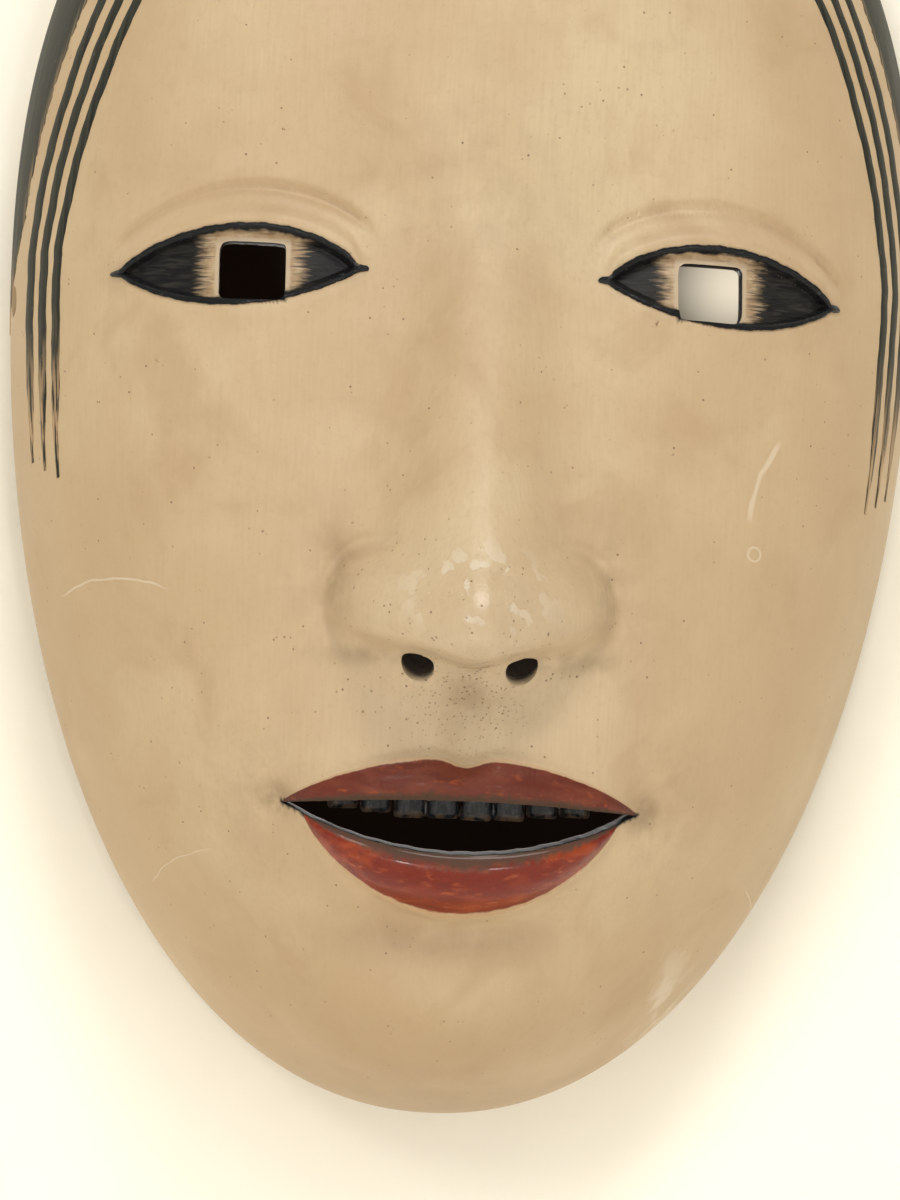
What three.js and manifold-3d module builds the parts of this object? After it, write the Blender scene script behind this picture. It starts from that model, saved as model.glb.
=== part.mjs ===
// A noh mask of the young-woman kind: a carved cypress shell under a gofun coat, a lacquered back,
// painted films for eyes, brows, lips and hair, a blackened row of teeth, and three wearing pads.
// Millimetres. +Z is up and the face looks along -Y. The origin lies midway between the two cord
// holes, in the plane of the rear rim, so the wearer's head is on the +Y side.
import * as THREE from 'three';
import { mergeVertices } from 'three/addons/utils/BufferGeometryUtils.js';
import Module from 'manifold-3d';

const wasm = await Module();
wasm.setup();

// Outline, seen from the front. Heights are measured up from the chin's lowest point.
const HALF_WIDTH = 68;
const HEIGHT = 212;
const WIDEST_HEIGHT = 124;
const CORD_HEIGHT = 118;
const OUTLINE_POWER_UP = 2.3;
const OUTLINE_POWER_DOWN = 2.1;

// The dome that carries the features.
const DOME_DEPTH = 50;
const DOME_POWER = 2.5;
const CHIN_FULLNESS = 4;
const CROWN_FULLNESS = 1.4;

// The layers, as depths below the coat's outer surface.
const COAT_THICKNESS = 1.0;
const WOOD_THICKNESS = 6.5;
const LACQUER_THICKNESS = 0.8;
const FILM_THICKNESS = 0.6;
const PAD_THICKNESS = 7.5;
const GAP = 0.3;
const WOOD_TOP = COAT_THICKNESS + GAP;
const WOOD_BACK = WOOD_TOP + WOOD_THICKNESS;
const LACQUER_TOP = WOOD_BACK + GAP;
const LACQUER_BACK = LACQUER_TOP + LACQUER_THICKNESS;
const PAD_TOP = LACQUER_BACK + GAP;

// The features' places.
const EYE_X = 33;
const EYE_HEIGHT = 120;
const EYE_HALF_LENGTH = 16;
const UPPER_LID_RISE = 6;
const LOWER_LID_FALL = 5;
const PUPIL_X = 31;
const PUPIL_WIDTH = 9;
const PUPIL_HEIGHT = 8;
const PUPIL_FLARE = 12;
const FUNNEL_DEPTH = 12;
const FUNNEL_FRONT = -46;
const NOSE_BASE = 70;
const NOSE_TIP = 78;
const BRIDGE_TOP = 128;
const NOSTRIL_X = 6.5;
const NOSTRIL_DIAMETER = 5;
const NOSTRIL_LENGTH = 30;
const NOSTRIL_SLANT = 0.9;
const NOSTRIL_DEPTH = 50;
const NOSTRIL_RISE = 6;
const MOUTH_HEIGHT = 47;
const MOUTH_HALF_WIDTH = 24;
const MOUTH_GAP = 3.6;
const MOUTH_CURVE = 0.0035;
const UPPER_LIP_HEIGHT = 6;
const CUPID_BOW = 1.2;
const LOWER_LIP_HEIGHT = 9;
const LOWER_LIP_INSET = 3;
const LIP_PAINT_GAP = 0.2;
const LIP_PAINT_INSET = 0.5;
const POCKET_WIDTH = 44;
const POCKET_HEIGHT = 13;
const POCKET_BACK = 25;
const POCKET_CLEARANCE = 0.6;
const POCKET_RISE = 2.5;
const TEETH_COUNT = 8;
const TEETH_WIDTH = 36;
const TEETH_SETBACK = 5;
const TOOTH_HEIGHT = 4.5;
const TOOTH_DEPTH = 3;
const TOOTH_TIP = 1.1;
const GUM_HEIGHT = 2;
const GUM_SETBACK = 0.5;
const TOOTH_GAP = 0.5;
const GUM_OVERLAP = 0.6;
const BROW_X = 24;
const BROW_HEIGHT = 170;
const BROW_HALF_LENGTH = 13;
const BROW_HALF_THICKNESS = 4;
const HAIR_AT_TEMPLE = 2.5;
const HAIR_AT_CROWN = 10.5;
const HAIR_END = 0.15;
const STRAND_COUNT = 3;
const STRAND_SPACING = 2.2;
const STRAND_SPREAD = 0.8;
const STRAND_WIDTH = 1.3;
const STRAND_START = 0.03;
const STRAND_END = 0.42;
const CORD_HOLE_DIAMETER = 4.5;
const CORD_HOLE_SETBACK = 11;
const CORD_HOLE_LENGTH = 40;

// The grid that every layer shares. Its pole lies on the nose, where the features are finest.
const POLE_HEIGHT = 88;
const RINGS = 16;
const SECTORS = 36;
const BACK_RINGS = 9;

// The wearing pads, each an ellipse seen from behind.
const FOREHEAD_PAD = { x: 0, h: 166, halfWidth: 34, halfHeight: 11 };
const LEFT_CHEEK_PAD = { x: -34, h: 82, halfWidth: 13, halfHeight: 16 };
const RIGHT_CHEEK_PAD = { x: 34, h: 82, halfWidth: 13, halfHeight: 16 };

const colours = {
  wood: { color: 0xc9a878, roughness: 0.7, metalness: 0 },
  gofun: { color: 0xcdb48c, roughness: 0.45, metalness: 0 },
  lacquer: { color: 0x2a1812, roughness: 0.3, metalness: 0 },
  ink: { color: 0x23241f, roughness: 0.4, metalness: 0 },
  vermilion: { color: 0xa03723, roughness: 0.35, metalness: 0 },
  teeth: { color: 0x15181c, roughness: 0.25, metalness: 0 },
  cloth: { color: 0x8a7f6c, roughness: 0.95, metalness: 0 },
};

const mask = new THREE.Group();

function addPiece(name, geometry, finish) {
  const mesh = new THREE.Mesh(geometry, new THREE.MeshStandardMaterial(finish));
  mesh.name = name;
  mask.add(mesh);
}

// ---- Solids and booleans ----

function toSolid(geometry) {
  const bare = geometry.clone();
  bare.deleteAttribute('normal');
  bare.deleteAttribute('uv');
  const merged = mergeVertices(bare, 1e-4);
  return new wasm.Manifold(new wasm.Mesh({
    numProp: 3,
    vertProperties: new Float32Array(merged.attributes.position.array),
    triVerts: new Uint32Array(merged.index.array),
  }));
}

function toGeometry(solid) {
  const mesh = solid.getMesh();
  const geometry = new THREE.BufferGeometry();
  geometry.setAttribute('position', new THREE.BufferAttribute(mesh.vertProperties, 3));
  geometry.setIndex(new THREE.BufferAttribute(mesh.triVerts, 1));
  geometry.computeVertexNormals();
  return geometry;
}

function subtractAll(solid, cutters) {
  return cutters.reduce((rest, cutter) => rest.subtract(cutter), solid);
}

// ---- The face as a height over the (x, height) plane ----

function smoothstep(low, high, value) {
  return THREE.MathUtils.smoothstep(value, low, high);
}

function bump(x, h, centreX, centreH, spreadX, spreadH) {
  const across = (x - centreX) / spreadX;
  const up = (h - centreH) / spreadH;
  return Math.exp(-0.5 * (across * across + up * up));
}

function pair(x, h, centreX, centreH, spreadX, spreadH) {
  const right = bump(x, h, centreX, centreH, spreadX, spreadH);
  return right + bump(x, h, -centreX, centreH, spreadX, spreadH);
}

// 0 at the widest level's centre, 1 on the outline.
function radius(x, h) {
  const reach = h > WIDEST_HEIGHT ? HEIGHT - WIDEST_HEIGHT : WIDEST_HEIGHT;
  const power = h > WIDEST_HEIGHT ? OUTLINE_POWER_UP : OUTLINE_POWER_DOWN;
  const across = Math.abs(x) / HALF_WIDTH;
  const up = Math.abs(h - WIDEST_HEIGHT) / reach;
  return (across ** power + up ** power) ** (1 / power);
}

function dome(x, h) {
  const reach = h > WIDEST_HEIGHT ? HEIGHT - WIDEST_HEIGHT : WIDEST_HEIGHT;
  const rho = Math.min(radius(x, h), 1);
  const slant = (h - WIDEST_HEIGHT) / reach / Math.max(rho, 1e-6);
  const chin = CHIN_FULLNESS * Math.max(-slant, 0) ** 4;
  const crown = CROWN_FULLNESS * Math.max(slant, 0) ** 4;
  return DOME_DEPTH * Math.sqrt(1 - rho ** (DOME_POWER + chin + crown));
}

// max(value, 0) with a rounded corner.
function softRamp(value, corner) {
  return 0.5 * (value + Math.hypot(value, corner));
}

// The ridge, tip and wings end sharply at the nose's base; the skirt round them ends softly.
function nose(x, h) {
  const drop = softRamp((BRIDGE_TOP - h) / (BRIDGE_TOP - NOSE_TIP), 0.16);
  const along = THREE.MathUtils.clamp(1 - softRamp(1 - drop, 0.1), 0, 1) ** 1.15;
  const below = softRamp((NOSE_TIP - h) / 8, 0.3);
  const height = 0.9 + 8.8 * along + 2.6 * along ** 4 - below ** 2;
  const width = 6.8 + 0.9 * along + 1.8 * along ** 4;
  const ridge = height * Math.exp(-(Math.abs(x / width) ** 2.8));
  const skirt = (1.4 + 6.8 * along) * Math.exp(-(Math.abs(x / 13) ** 2.2));
  const root = 1 - smoothstep(116, 158, h);
  const tip = 1.6 * bump(x, h, 0, NOSE_TIP - 1, 7, 4.6);
  const wing = (side) => {
    const reach = ((x - side * 12.2) / 5.4) ** 2 + ((h - 76.6) / 5.6) ** 2;
    return 6 * Math.exp(-(reach ** 1.5));
  };
  const under = smoothstep(NOSE_BASE - 1.2, NOSE_BASE + 2.4, h) ** 0.8;
  const softUnder = smoothstep(NOSE_BASE - 9, NOSE_BASE + 5, h);
  return ((ridge + tip) * root + wing(-1) + wing(1)) * under + skirt * root * softUnder;
}

function lips(x, h) {
  const line = mouthLine(x);
  const taper = Math.max(1 - (x / (MOUTH_HALF_WIDTH + 2)) ** 2, 0);
  const upper = 2.2 * Math.exp(-0.5 * ((h - line - 6) / 3) ** 2);
  const lower = 3.4 * Math.exp(-0.5 * ((h - line + 8) / 4) ** 2);
  return (upper + lower) * taper;
}

function frontFeatures(x, h) {
  const eyes = 2.6 * pair(x, h, EYE_X, EYE_HEIGHT, 12, 8) - 3.2 * pair(x, h, 20, 130, 9, 8);
  const cheeks = 3.5 * pair(x, h, 33, 84, 17, 20);
  const forehead = 1.5 * bump(x, h, 0, 165, 40, 22);
  const muzzle = 5.5 * bump(x, h, 0, 53, 24, 15);
  const chin = 7 * bump(x, h, 0, 17, 17, 11) - 3.5 * bump(x, h, 0, 32, 17, 4.5);
  return eyes + cheeks + forehead + muzzle + chin + nose(x, h) + lips(x, h);
}

function frontHeight(x, h) {
  return dome(x, h) + frontFeatures(x, h);
}

function backFeatures(x, h) {
  const noseHollow = 7.5 * bump(x, h, 0, 81, 6.5, 11);
  const cheeks = 3 * pair(x, h, 33, 84, 17, 20);
  const forehead = 1.5 * bump(x, h, 0, 165, 40, 22);
  const muzzle = 3 * bump(x, h, 0, 52, 20, 12);
  const chin = 4 * bump(x, h, 0, 18, 15, 10);
  return noseHollow + cheeks + forehead + muzzle + chin;
}

// ---- Layers: closed solids between two depths ----

// The distance from a point on the centre line to the outline.
function outlineReach(angle, fromHeight) {
  let near = 0;
  let far = HEIGHT;
  for (let step = 0; step < 40; step += 1) {
    const middle = (near + far) / 2;
    const inside = radius(middle * Math.cos(angle), fromHeight + middle * Math.sin(angle)) < 1;
    near = inside ? middle : near;
    far = inside ? far : middle;
  }
  return near;
}

// The point at grid parameter t (0 at the pole, 1 at the rim), a given depth below the surface.
// The depth runs backwards in the middle and turns inwards towards the rim, which stays at y = 0.
function layerPoint(t, angle, depth, features) {
  const quarter = t * Math.PI / 2;
  const reach = outlineReach(angle, POLE_HEIGHT) * Math.sin(quarter);
  const x = reach * Math.cos(angle);
  const h = POLE_HEIGHT + reach * Math.sin(angle);
  const fade = 1 - smoothstep(0.9, 1, radius(x, h));
  const height = t === 1 ? 0 : dome(x, h) + features(x, h) * fade;
  const inward = depth * Math.sin(quarter) ** 4;
  const backward = t === 1 ? 0 : depth * Math.cos(quarter * Math.sin(quarter) ** 3);
  return [
    x - inward * Math.cos(angle),
    -Math.max(height - backward, 0),
    h - CORD_HEIGHT - inward * Math.sin(angle),
  ];
}

function surfaceVertices(depth, features, rings) {
  const vertices = [layerPoint(0, 0, depth, features)];
  for (let ring = 1; ring <= rings; ring += 1) {
    for (let sector = 0; sector < SECTORS; sector += 1) {
      const angle = (sector / SECTORS) * 2 * Math.PI;
      vertices.push(layerPoint(ring / rings, angle, depth, features));
    }
  }
  return vertices;
}

function surfaceTriangles(rings, start, flip) {
  const triangles = [];
  const vertex = (ring, sector) => start + 1 + (ring - 1) * SECTORS + (sector % SECTORS);
  const add = (a, b, c) => triangles.push(...(flip ? [a, c, b] : [a, b, c]));
  for (let sector = 0; sector < SECTORS; sector += 1) {
    add(start, vertex(1, sector), vertex(1, sector + 1));
    for (let ring = 1; ring < rings; ring += 1) {
      add(vertex(ring, sector), vertex(ring + 1, sector), vertex(ring + 1, sector + 1));
      add(vertex(ring, sector), vertex(ring + 1, sector + 1), vertex(ring, sector + 1));
    }
  }
  return triangles;
}

function layer(front, back) {
  const outer = surfaceVertices(front.depth, front.features, front.rings);
  const inner = surfaceVertices(back.depth, back.features, back.rings);
  const triangles = surfaceTriangles(front.rings, 0, false);
  triangles.push(...surfaceTriangles(back.rings, outer.length, true));
  const outerRim = outer.length - SECTORS;
  const innerRim = outer.length + inner.length - SECTORS;
  for (let sector = 0; sector < SECTORS; sector += 1) {
    const next = (sector + 1) % SECTORS;
    triangles.push(outerRim + sector, innerRim + sector, innerRim + next);
    triangles.push(outerRim + sector, innerRim + next, outerRim + next);
  }
  const geometry = new THREE.BufferGeometry();
  const positions = new Float32Array([...outer, ...inner].flat());
  geometry.setAttribute('position', new THREE.BufferAttribute(positions, 3));
  geometry.setIndex(triangles);
  return toSolid(geometry);
}

function frontSurface(depth, rings = RINGS) {
  return { depth, features: frontFeatures, rings };
}

function backSurface(depth) {
  return { depth, features: backFeatures, rings: BACK_RINGS };
}

// ---- Outlines and cutters ----

// A prism along Y through the whole mask, from an outline of [x, height] points.
function prism(points) {
  const shape = new THREE.Shape(points.map(([x, h]) => new THREE.Vector2(x, h - CORD_HEIGHT)));
  const geometry = new THREE.ExtrudeGeometry(shape, { depth: 200, bevelEnabled: false });
  geometry.translate(0, 0, -100);
  geometry.rotateX(Math.PI / 2);
  return toSolid(geometry);
}

function rectangle(centreX, centreH, width, height) {
  const [halfW, halfH] = [width / 2, height / 2];
  const corners = [[-halfW, -halfH], [halfW, -halfH], [halfW, halfH], [-halfW, halfH]];
  return corners.map(([x, h]) => [centreX + x, centreH + h]);
}

function ellipse(centreX, centreH, halfWidth, halfHeight, points = 16) {
  return Array.from({ length: points }, (_, i) => {
    const angle = (i / points) * 2 * Math.PI;
    return [centreX + halfWidth * Math.cos(angle), centreH + halfHeight * Math.sin(angle)];
  });
}

// The closed outline between two curves over x, both given as functions of x.
function between(from, to, lower, upper, steps) {
  const along = Array.from({ length: steps + 1 }, (_, i) => from + ((to - from) * i) / steps);
  return [
    ...along.map((x) => [x, lower(x)]),
    ...along.reverse().map((x) => [x, upper(x)]).slice(1, -1),
  ];
}

function mouthLine(x) {
  return MOUTH_HEIGHT + MOUTH_CURVE * x * x;
}

function mouthTaper(x, halfWidth) {
  return Math.max(1 - (x / halfWidth) ** 2, 0);
}

function mouthTop(x) {
  return mouthLine(x) + MOUTH_GAP * mouthTaper(x, MOUTH_HALF_WIDTH);
}

function mouthBottom(x) {
  return mouthLine(x) - MOUTH_GAP * mouthTaper(x, MOUTH_HALF_WIDTH);
}

function upperLipTop(x) {
  const arch = UPPER_LIP_HEIGHT * mouthTaper(x, MOUTH_HALF_WIDTH) ** 0.8;
  return mouthTop(x) + arch - CUPID_BOW * Math.exp(-((x / 3) ** 2));
}

function lowerLipBottom(x) {
  return mouthBottom(x) - LOWER_LIP_HEIGHT * mouthTaper(x, MOUTH_HALF_WIDTH - LOWER_LIP_INSET) ** 0.8;
}

// A point a given distance inside the outline, on a ray from the widest level's centre.
function insideOutline(angle, inset) {
  const reach = outlineReach(angle, WIDEST_HEIGHT) - inset;
  return [reach * Math.cos(angle), WIDEST_HEIGHT + reach * Math.sin(angle)];
}

// How far the solid hair reaches in from the outline: wide at the crown, narrow at the temples.
function hairInset(angle) {
  return HAIR_AT_TEMPLE + HAIR_AT_CROWN * Math.max(Math.sin(angle), 0) ** 1.2;
}

function strandInset(angle, order) {
  return hairInset(angle) + order * (STRAND_SPACING + STRAND_SPREAD * Math.max(Math.sin(angle), 0));
}

function band(fromAngle, toAngle, innerInset, outerInset, steps) {
  const angles = Array.from({ length: steps + 1 }, (_, i) => (
    fromAngle + ((toAngle - fromAngle) * i) / steps
  ));
  return [
    ...angles.map((angle) => insideOutline(angle, outerInset(angle))),
    ...angles.reverse().map((angle) => insideOutline(angle, innerInset(angle))),
  ];
}

function pupilCutter(side) {
  return prism(rectangle(side * PUPIL_X, EYE_HEIGHT, PUPIL_WIDTH, PUPIL_HEIGHT));
}

// The wide funnel behind a pupil opening, which gives the wearer a wider view.
function pupilFunnel(side) {
  const geometry = new THREE.CylinderGeometry(PUPIL_FLARE, PUPIL_WIDTH / 2, FUNNEL_DEPTH, 12);
  geometry.translate(side * PUPIL_X, FUNNEL_FRONT + FUNNEL_DEPTH / 2, EYE_HEIGHT - CORD_HEIGHT);
  return toSolid(geometry);
}

function mouthCutter() {
  return prism(between(-MOUTH_HALF_WIDTH, MOUTH_HALF_WIDTH, mouthBottom, mouthTop, 12));
}

// The room behind the lips that holds the teeth. It follows the face at a set depth.
function mouthPocket() {
  const room = layer(frontSurface(TEETH_SETBACK - POCKET_CLEARANCE), frontSurface(POCKET_BACK));
  return room.intersect(prism(rectangle(0, MOUTH_HEIGHT + POCKET_RISE, POCKET_WIDTH, POCKET_HEIGHT)));
}

function nostrilCutter(side) {
  const boreRadius = NOSTRIL_DIAMETER / 2;
  const geometry = new THREE.CylinderGeometry(boreRadius, boreRadius, NOSTRIL_LENGTH, 10);
  geometry.rotateX(NOSTRIL_SLANT);
  geometry.translate(side * NOSTRIL_X, -NOSTRIL_DEPTH, NOSE_BASE + NOSTRIL_RISE - CORD_HEIGHT);
  return toSolid(geometry);
}

function cordHoleCutter(side) {
  const radiusOfHole = CORD_HOLE_DIAMETER / 2;
  const geometry = new THREE.CylinderGeometry(radiusOfHole, radiusOfHole, CORD_HOLE_LENGTH, 12);
  geometry.rotateZ(Math.PI / 2);
  geometry.translate(side * HALF_WIDTH, -CORD_HOLE_SETBACK, 0);
  return toSolid(geometry);
}

const openings = [-1, 1].flatMap((side) => [
  pupilCutter(side),
  nostrilCutter(side),
  cordHoleCutter(side),
]);
openings.push(mouthCutter());
const backOpenings = [...openings, mouthPocket(), pupilFunnel(-1), pupilFunnel(1)];

// ---- The mask ----

function addShell() {
  const solid = layer(frontSurface(WOOD_TOP), backSurface(WOOD_BACK));
  addPiece('cypress_shell', toGeometry(subtractAll(solid, backOpenings)), colours.wood);
}

function addCoat() {
  const solid = layer(frontSurface(0), frontSurface(COAT_THICKNESS));
  addPiece('gofun_coat', toGeometry(subtractAll(solid, openings)), colours.gofun);
}

function addBackLacquer() {
  const solid = layer(backSurface(LACQUER_TOP), backSurface(LACQUER_BACK));
  addPiece('back_lacquer', toGeometry(subtractAll(solid, backOpenings)), colours.lacquer);
}

const paintLayer = layer(frontSurface(-GAP - FILM_THICKNESS), frontSurface(-GAP));

function addPaint(name, outline, finish, cutters = []) {
  const film = subtractAll(paintLayer.intersect(prism(outline)), cutters);
  addPiece(name, toGeometry(film), finish);
}

function addEye(name, side) {
  const t = (x) => (x - side * EYE_X) / EYE_HALF_LENGTH;
  const upper = (x) => EYE_HEIGHT + UPPER_LID_RISE * Math.max(1 - t(x) ** 2, 0) ** 0.8;
  const lower = (x) => EYE_HEIGHT - LOWER_LID_FALL * Math.max(1 - t(x) ** 2, 0) ** 0.8;
  const ends = [side * EYE_X - EYE_HALF_LENGTH, side * EYE_X + EYE_HALF_LENGTH];
  addPaint(name, between(...ends, lower, upper, 10), colours.ink, [pupilCutter(side)]);
}

function addBrow(name, side) {
  const outline = ellipse(side * BROW_X, BROW_HEIGHT, BROW_HALF_LENGTH, BROW_HALF_THICKNESS);
  addPaint(name, outline, colours.ink);
}

function addLips() {
  const half = MOUTH_HALF_WIDTH - LIP_PAINT_INSET;
  const upperEdge = (x) => mouthTop(x) + LIP_PAINT_GAP;
  addPaint('lip_upper', between(-half, half, upperEdge, upperLipTop, 12), colours.vermilion);
  const lowerHalf = half - LOWER_LIP_INSET;
  const lowerTop = (x) => mouthBottom(x) - LIP_PAINT_GAP;
  addPaint('lip_lower', between(-lowerHalf, lowerHalf, lowerLipBottom, lowerTop, 12), colours.vermilion);
}

function addCrown() {
  const start = -HAIR_END;
  addPaint('hair_crown', band(start, Math.PI - start, hairInset, () => -10, 24), colours.ink);
}

// Each strand runs inside the solid hair, from beside the parting down to the cheek.
function addStrand(name, side, order) {
  const half = STRAND_WIDTH / 2;
  const fromTo = [-STRAND_END, Math.PI / 2 - STRAND_START];
  const angles = side > 0 ? fromTo : fromTo.map((angle) => Math.PI - angle).reverse();
  const inner = (angle) => strandInset(angle, order) + half;
  const outer = (angle) => strandInset(angle, order) - half;
  addPaint(name, band(...angles, inner, outer, 12), colours.ink);
}

function addHair() {
  addCrown();
  for (let order = 1; order <= STRAND_COUNT; order += 1) {
    addStrand(`hair_strand_left_${order}`, -1, order);
    addStrand(`hair_strand_right_${order}`, 1, order);
  }
}

// The upper row hangs from one gum strip and follows the mouth's curve.
function addTeeth() {
  const pitch = TEETH_WIDTH / TEETH_COUNT;
  const blocks = [];
  for (let tooth = 0; tooth < TEETH_COUNT; tooth += 1) {
    const x = (tooth + 0.5 - TEETH_COUNT / 2) * pitch;
    const y = -frontHeight(x, MOUTH_HEIGHT) + TEETH_SETBACK + TOOTH_DEPTH / 2;
    const tip = mouthLine(x) + TOOTH_TIP - CORD_HEIGHT;
    const crown = new THREE.BoxGeometry(pitch - TOOTH_GAP, TOOTH_DEPTH, TOOTH_HEIGHT);
    crown.translate(x, y, tip + TOOTH_HEIGHT / 2);
    const gum = new THREE.BoxGeometry(pitch + GUM_OVERLAP, TOOTH_DEPTH, GUM_HEIGHT);
    gum.translate(x, y + GUM_SETBACK, tip + TOOTH_HEIGHT);
    blocks.push(toSolid(crown), toSolid(gum));
  }
  const row = blocks.slice(1).reduce((joined, block) => joined.add(block), blocks[0]);
  addPiece('teeth_upper', toGeometry(row), colours.teeth);
}

const padLayer = layer(backSurface(PAD_TOP), backSurface(PAD_TOP + PAD_THICKNESS));

function addPad(name, pad) {
  const outline = ellipse(pad.x, pad.h, pad.halfWidth, pad.halfHeight, 12);
  addPiece(name, toGeometry(padLayer.intersect(prism(outline))), colours.cloth);
}

addShell();
addCoat();
addBackLacquer();
addEye('eye_ink_left', -1);
addEye('eye_ink_right', 1);
addBrow('brow_left', -1);
addBrow('brow_right', 1);
addLips();
addHair();
addTeeth();
addPad('forehead_pad', FOREHEAD_PAD);
addPad('cheek_pad_left', LEFT_CHEEK_PAD);
addPad('cheek_pad_right', RIGHT_CHEEK_PAD);

export default mask;
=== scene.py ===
"""A noh mask of the young-woman kind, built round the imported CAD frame.

Lengths in the face functions are millimetres, with heights measured up from the chin's lowest point.
Meshes are in metres, in the row's frame: +Z up, the face towards -Y, the wearer's head on +Y.
"""
import math

import bmesh
import bpy
import numpy as np
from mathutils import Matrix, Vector
from mathutils.bvhtree import BVHTree


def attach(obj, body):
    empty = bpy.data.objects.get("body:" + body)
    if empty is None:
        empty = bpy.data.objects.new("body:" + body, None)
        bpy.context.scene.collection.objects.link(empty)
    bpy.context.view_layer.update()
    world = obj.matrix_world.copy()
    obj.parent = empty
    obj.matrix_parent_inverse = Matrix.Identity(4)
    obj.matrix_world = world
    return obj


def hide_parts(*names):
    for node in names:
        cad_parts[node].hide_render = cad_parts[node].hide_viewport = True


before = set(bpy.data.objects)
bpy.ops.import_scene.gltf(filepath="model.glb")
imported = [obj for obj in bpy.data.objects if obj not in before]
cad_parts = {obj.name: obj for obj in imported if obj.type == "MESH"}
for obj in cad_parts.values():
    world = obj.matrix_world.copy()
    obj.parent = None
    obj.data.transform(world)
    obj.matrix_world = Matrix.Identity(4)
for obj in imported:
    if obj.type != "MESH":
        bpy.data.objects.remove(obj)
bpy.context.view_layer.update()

MM = 0.001

# The mask's measures, as the CAD has them.
HALF_WIDTH = 68.0
HEIGHT = 212.0
WIDEST = 124.0
CORD_HEIGHT = 118.0
OUTLINE_POWER_UP = 2.3
OUTLINE_POWER_DOWN = 2.1
DOME_DEPTH = 50.0
DOME_POWER = 2.5
CHIN_FULLNESS = 4.0
CROWN_FULLNESS = 1.4
POLE_HEIGHT = 88.0

EYE_X = 33.0
EYE_HEIGHT = 120.0
EYE_HALF = 16.0
UPPER_LID_RISE = 5.6
LOWER_LID_FALL = 4.4
PUPIL_X = 31.0
PUPIL_WIDTH = 9.0
PUPIL_HEIGHT = 8.0
NOSE_BASE = 70.0
NOSE_TIP = 78.0
BRIDGE_TOP = 128.0
MOUTH_HEIGHT = 47.0
MOUTH_HALF = 24.0
MOUTH_GAP = 3.6
MOUTH_CURVE = 0.0035
UPPER_LIP_HEIGHT = 6
CUPID_BOW = 1.3
LOWER_LIP_HEIGHT = 9
LOWER_LIP_INSET = 3

# The layers, as depths below the coat's outer surface.
COAT_BACK = 1.1
WOOD_TOP = 1.3
WOOD_BACK = 7.8
LACQUER_TOP = WOOD_BACK + 0.05
LACQUER_BACK = 8.6
PUPIL_WALL = 1.8
LIP_WALL = 4.2
GOUGE_DEPTH = 0.8
NOSE_DROOP = 0.17
NOSTRIL_FROM = (7.2, -62, 62)
NOSTRIL_TO = (5.6, -38, 93)
NOSTRIL_RADIUS = 2.2
CORD_HOLE_RADIUS = 2.25
CORD_HOLE_Y = -11
BROW_X = 24
BROW_HEIGHT = 170
THREAD_PITCH = 0.62
PAD_DEPTH = 7.2


# ---- Small maths ----

def step(low, high, value):
    t = np.clip((value - low) / (high - low), 0, 1)
    return t * t * (3 - 2 * t)


def bump(x, h, centre_x, centre_h, spread_x, spread_h):
    return np.exp(-0.5 * (((x - centre_x) / spread_x) ** 2 + ((h - centre_h) / spread_h) ** 2))


def pair(x, h, centre_x, centre_h, spread_x, spread_h):
    return (bump(x, h, centre_x, centre_h, spread_x, spread_h)
            + bump(x, h, -centre_x, centre_h, spread_x, spread_h))


def soft_ramp(value, corner):
    """max(value, 0) with a rounded corner."""
    return 0.5 * (value + np.sqrt(value * value + corner * corner))


def taper(x, half):
    return np.maximum(1 - (x / half) ** 2, 0)


def circle(count):
    """Evenly spaced angles once round."""
    return np.linspace(0, 2 * math.pi, count, endpoint=False)


def squared(wave, power):
    """A sine or cosine, bent so that a circle made of it grows towards a square."""
    return np.sign(wave) * np.abs(wave) ** power


def slope_normal(height, x, h, e, facing):
    """Unit normals of a height map, facing 1 to the wearer or -1 to the viewer."""
    across = (height(x + e, h) - height(x - e, h)) / (2 * e)
    up = (height(x, h + e) - height(x, h - e)) / (2 * e)
    normal = np.stack([-across, facing * np.ones_like(x), -up], axis=-1)
    return normal / np.linalg.norm(normal, axis=-1, keepdims=True)


# ---- The face ----

def radius(x, h):
    """0 at the widest level's centre, 1 on the outline."""
    reach = np.where(h > WIDEST, HEIGHT - WIDEST, WIDEST)
    power = np.where(h > WIDEST, OUTLINE_POWER_UP, OUTLINE_POWER_DOWN)
    across = np.abs(x) / HALF_WIDTH
    up = np.abs(h - WIDEST) / reach
    return (across ** power + up ** power) ** (1 / power)


def dome(x, h):
    reach = np.where(h > WIDEST, HEIGHT - WIDEST, WIDEST)
    rho = np.minimum(radius(x, h), 1)
    slant = (h - WIDEST) / reach / np.maximum(rho, 1e-6)
    chin = CHIN_FULLNESS * np.maximum(-slant, 0) ** 4
    crown = CROWN_FULLNESS * np.maximum(slant, 0) ** 4
    return DOME_DEPTH * np.sqrt(np.maximum(1 - rho ** (DOME_POWER + chin + crown), 0))


def mouth_line(x):
    return MOUTH_HEIGHT + MOUTH_CURVE * x * x


def mouth_top(x):
    return mouth_line(x) + MOUTH_GAP * taper(x, MOUTH_HALF)


def mouth_bottom(x):
    return mouth_line(x) - MOUTH_GAP * taper(x, MOUTH_HALF)


def upper_lip_top(x):
    bow = CUPID_BOW * np.exp(-(x / 2.6) ** 2)
    return mouth_top(x) + UPPER_LIP_HEIGHT * taper(x, MOUTH_HALF) ** 0.8 - bow


def lower_lip_bottom(x):
    return mouth_bottom(x) - LOWER_LIP_HEIGHT * taper(x, MOUTH_HALF - LOWER_LIP_INSET) ** 0.7


def eye_place(x):
    """-1 at an eye's inner corner, 1 at its outer corner."""
    return (np.abs(x) - EYE_X) / EYE_HALF


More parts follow.
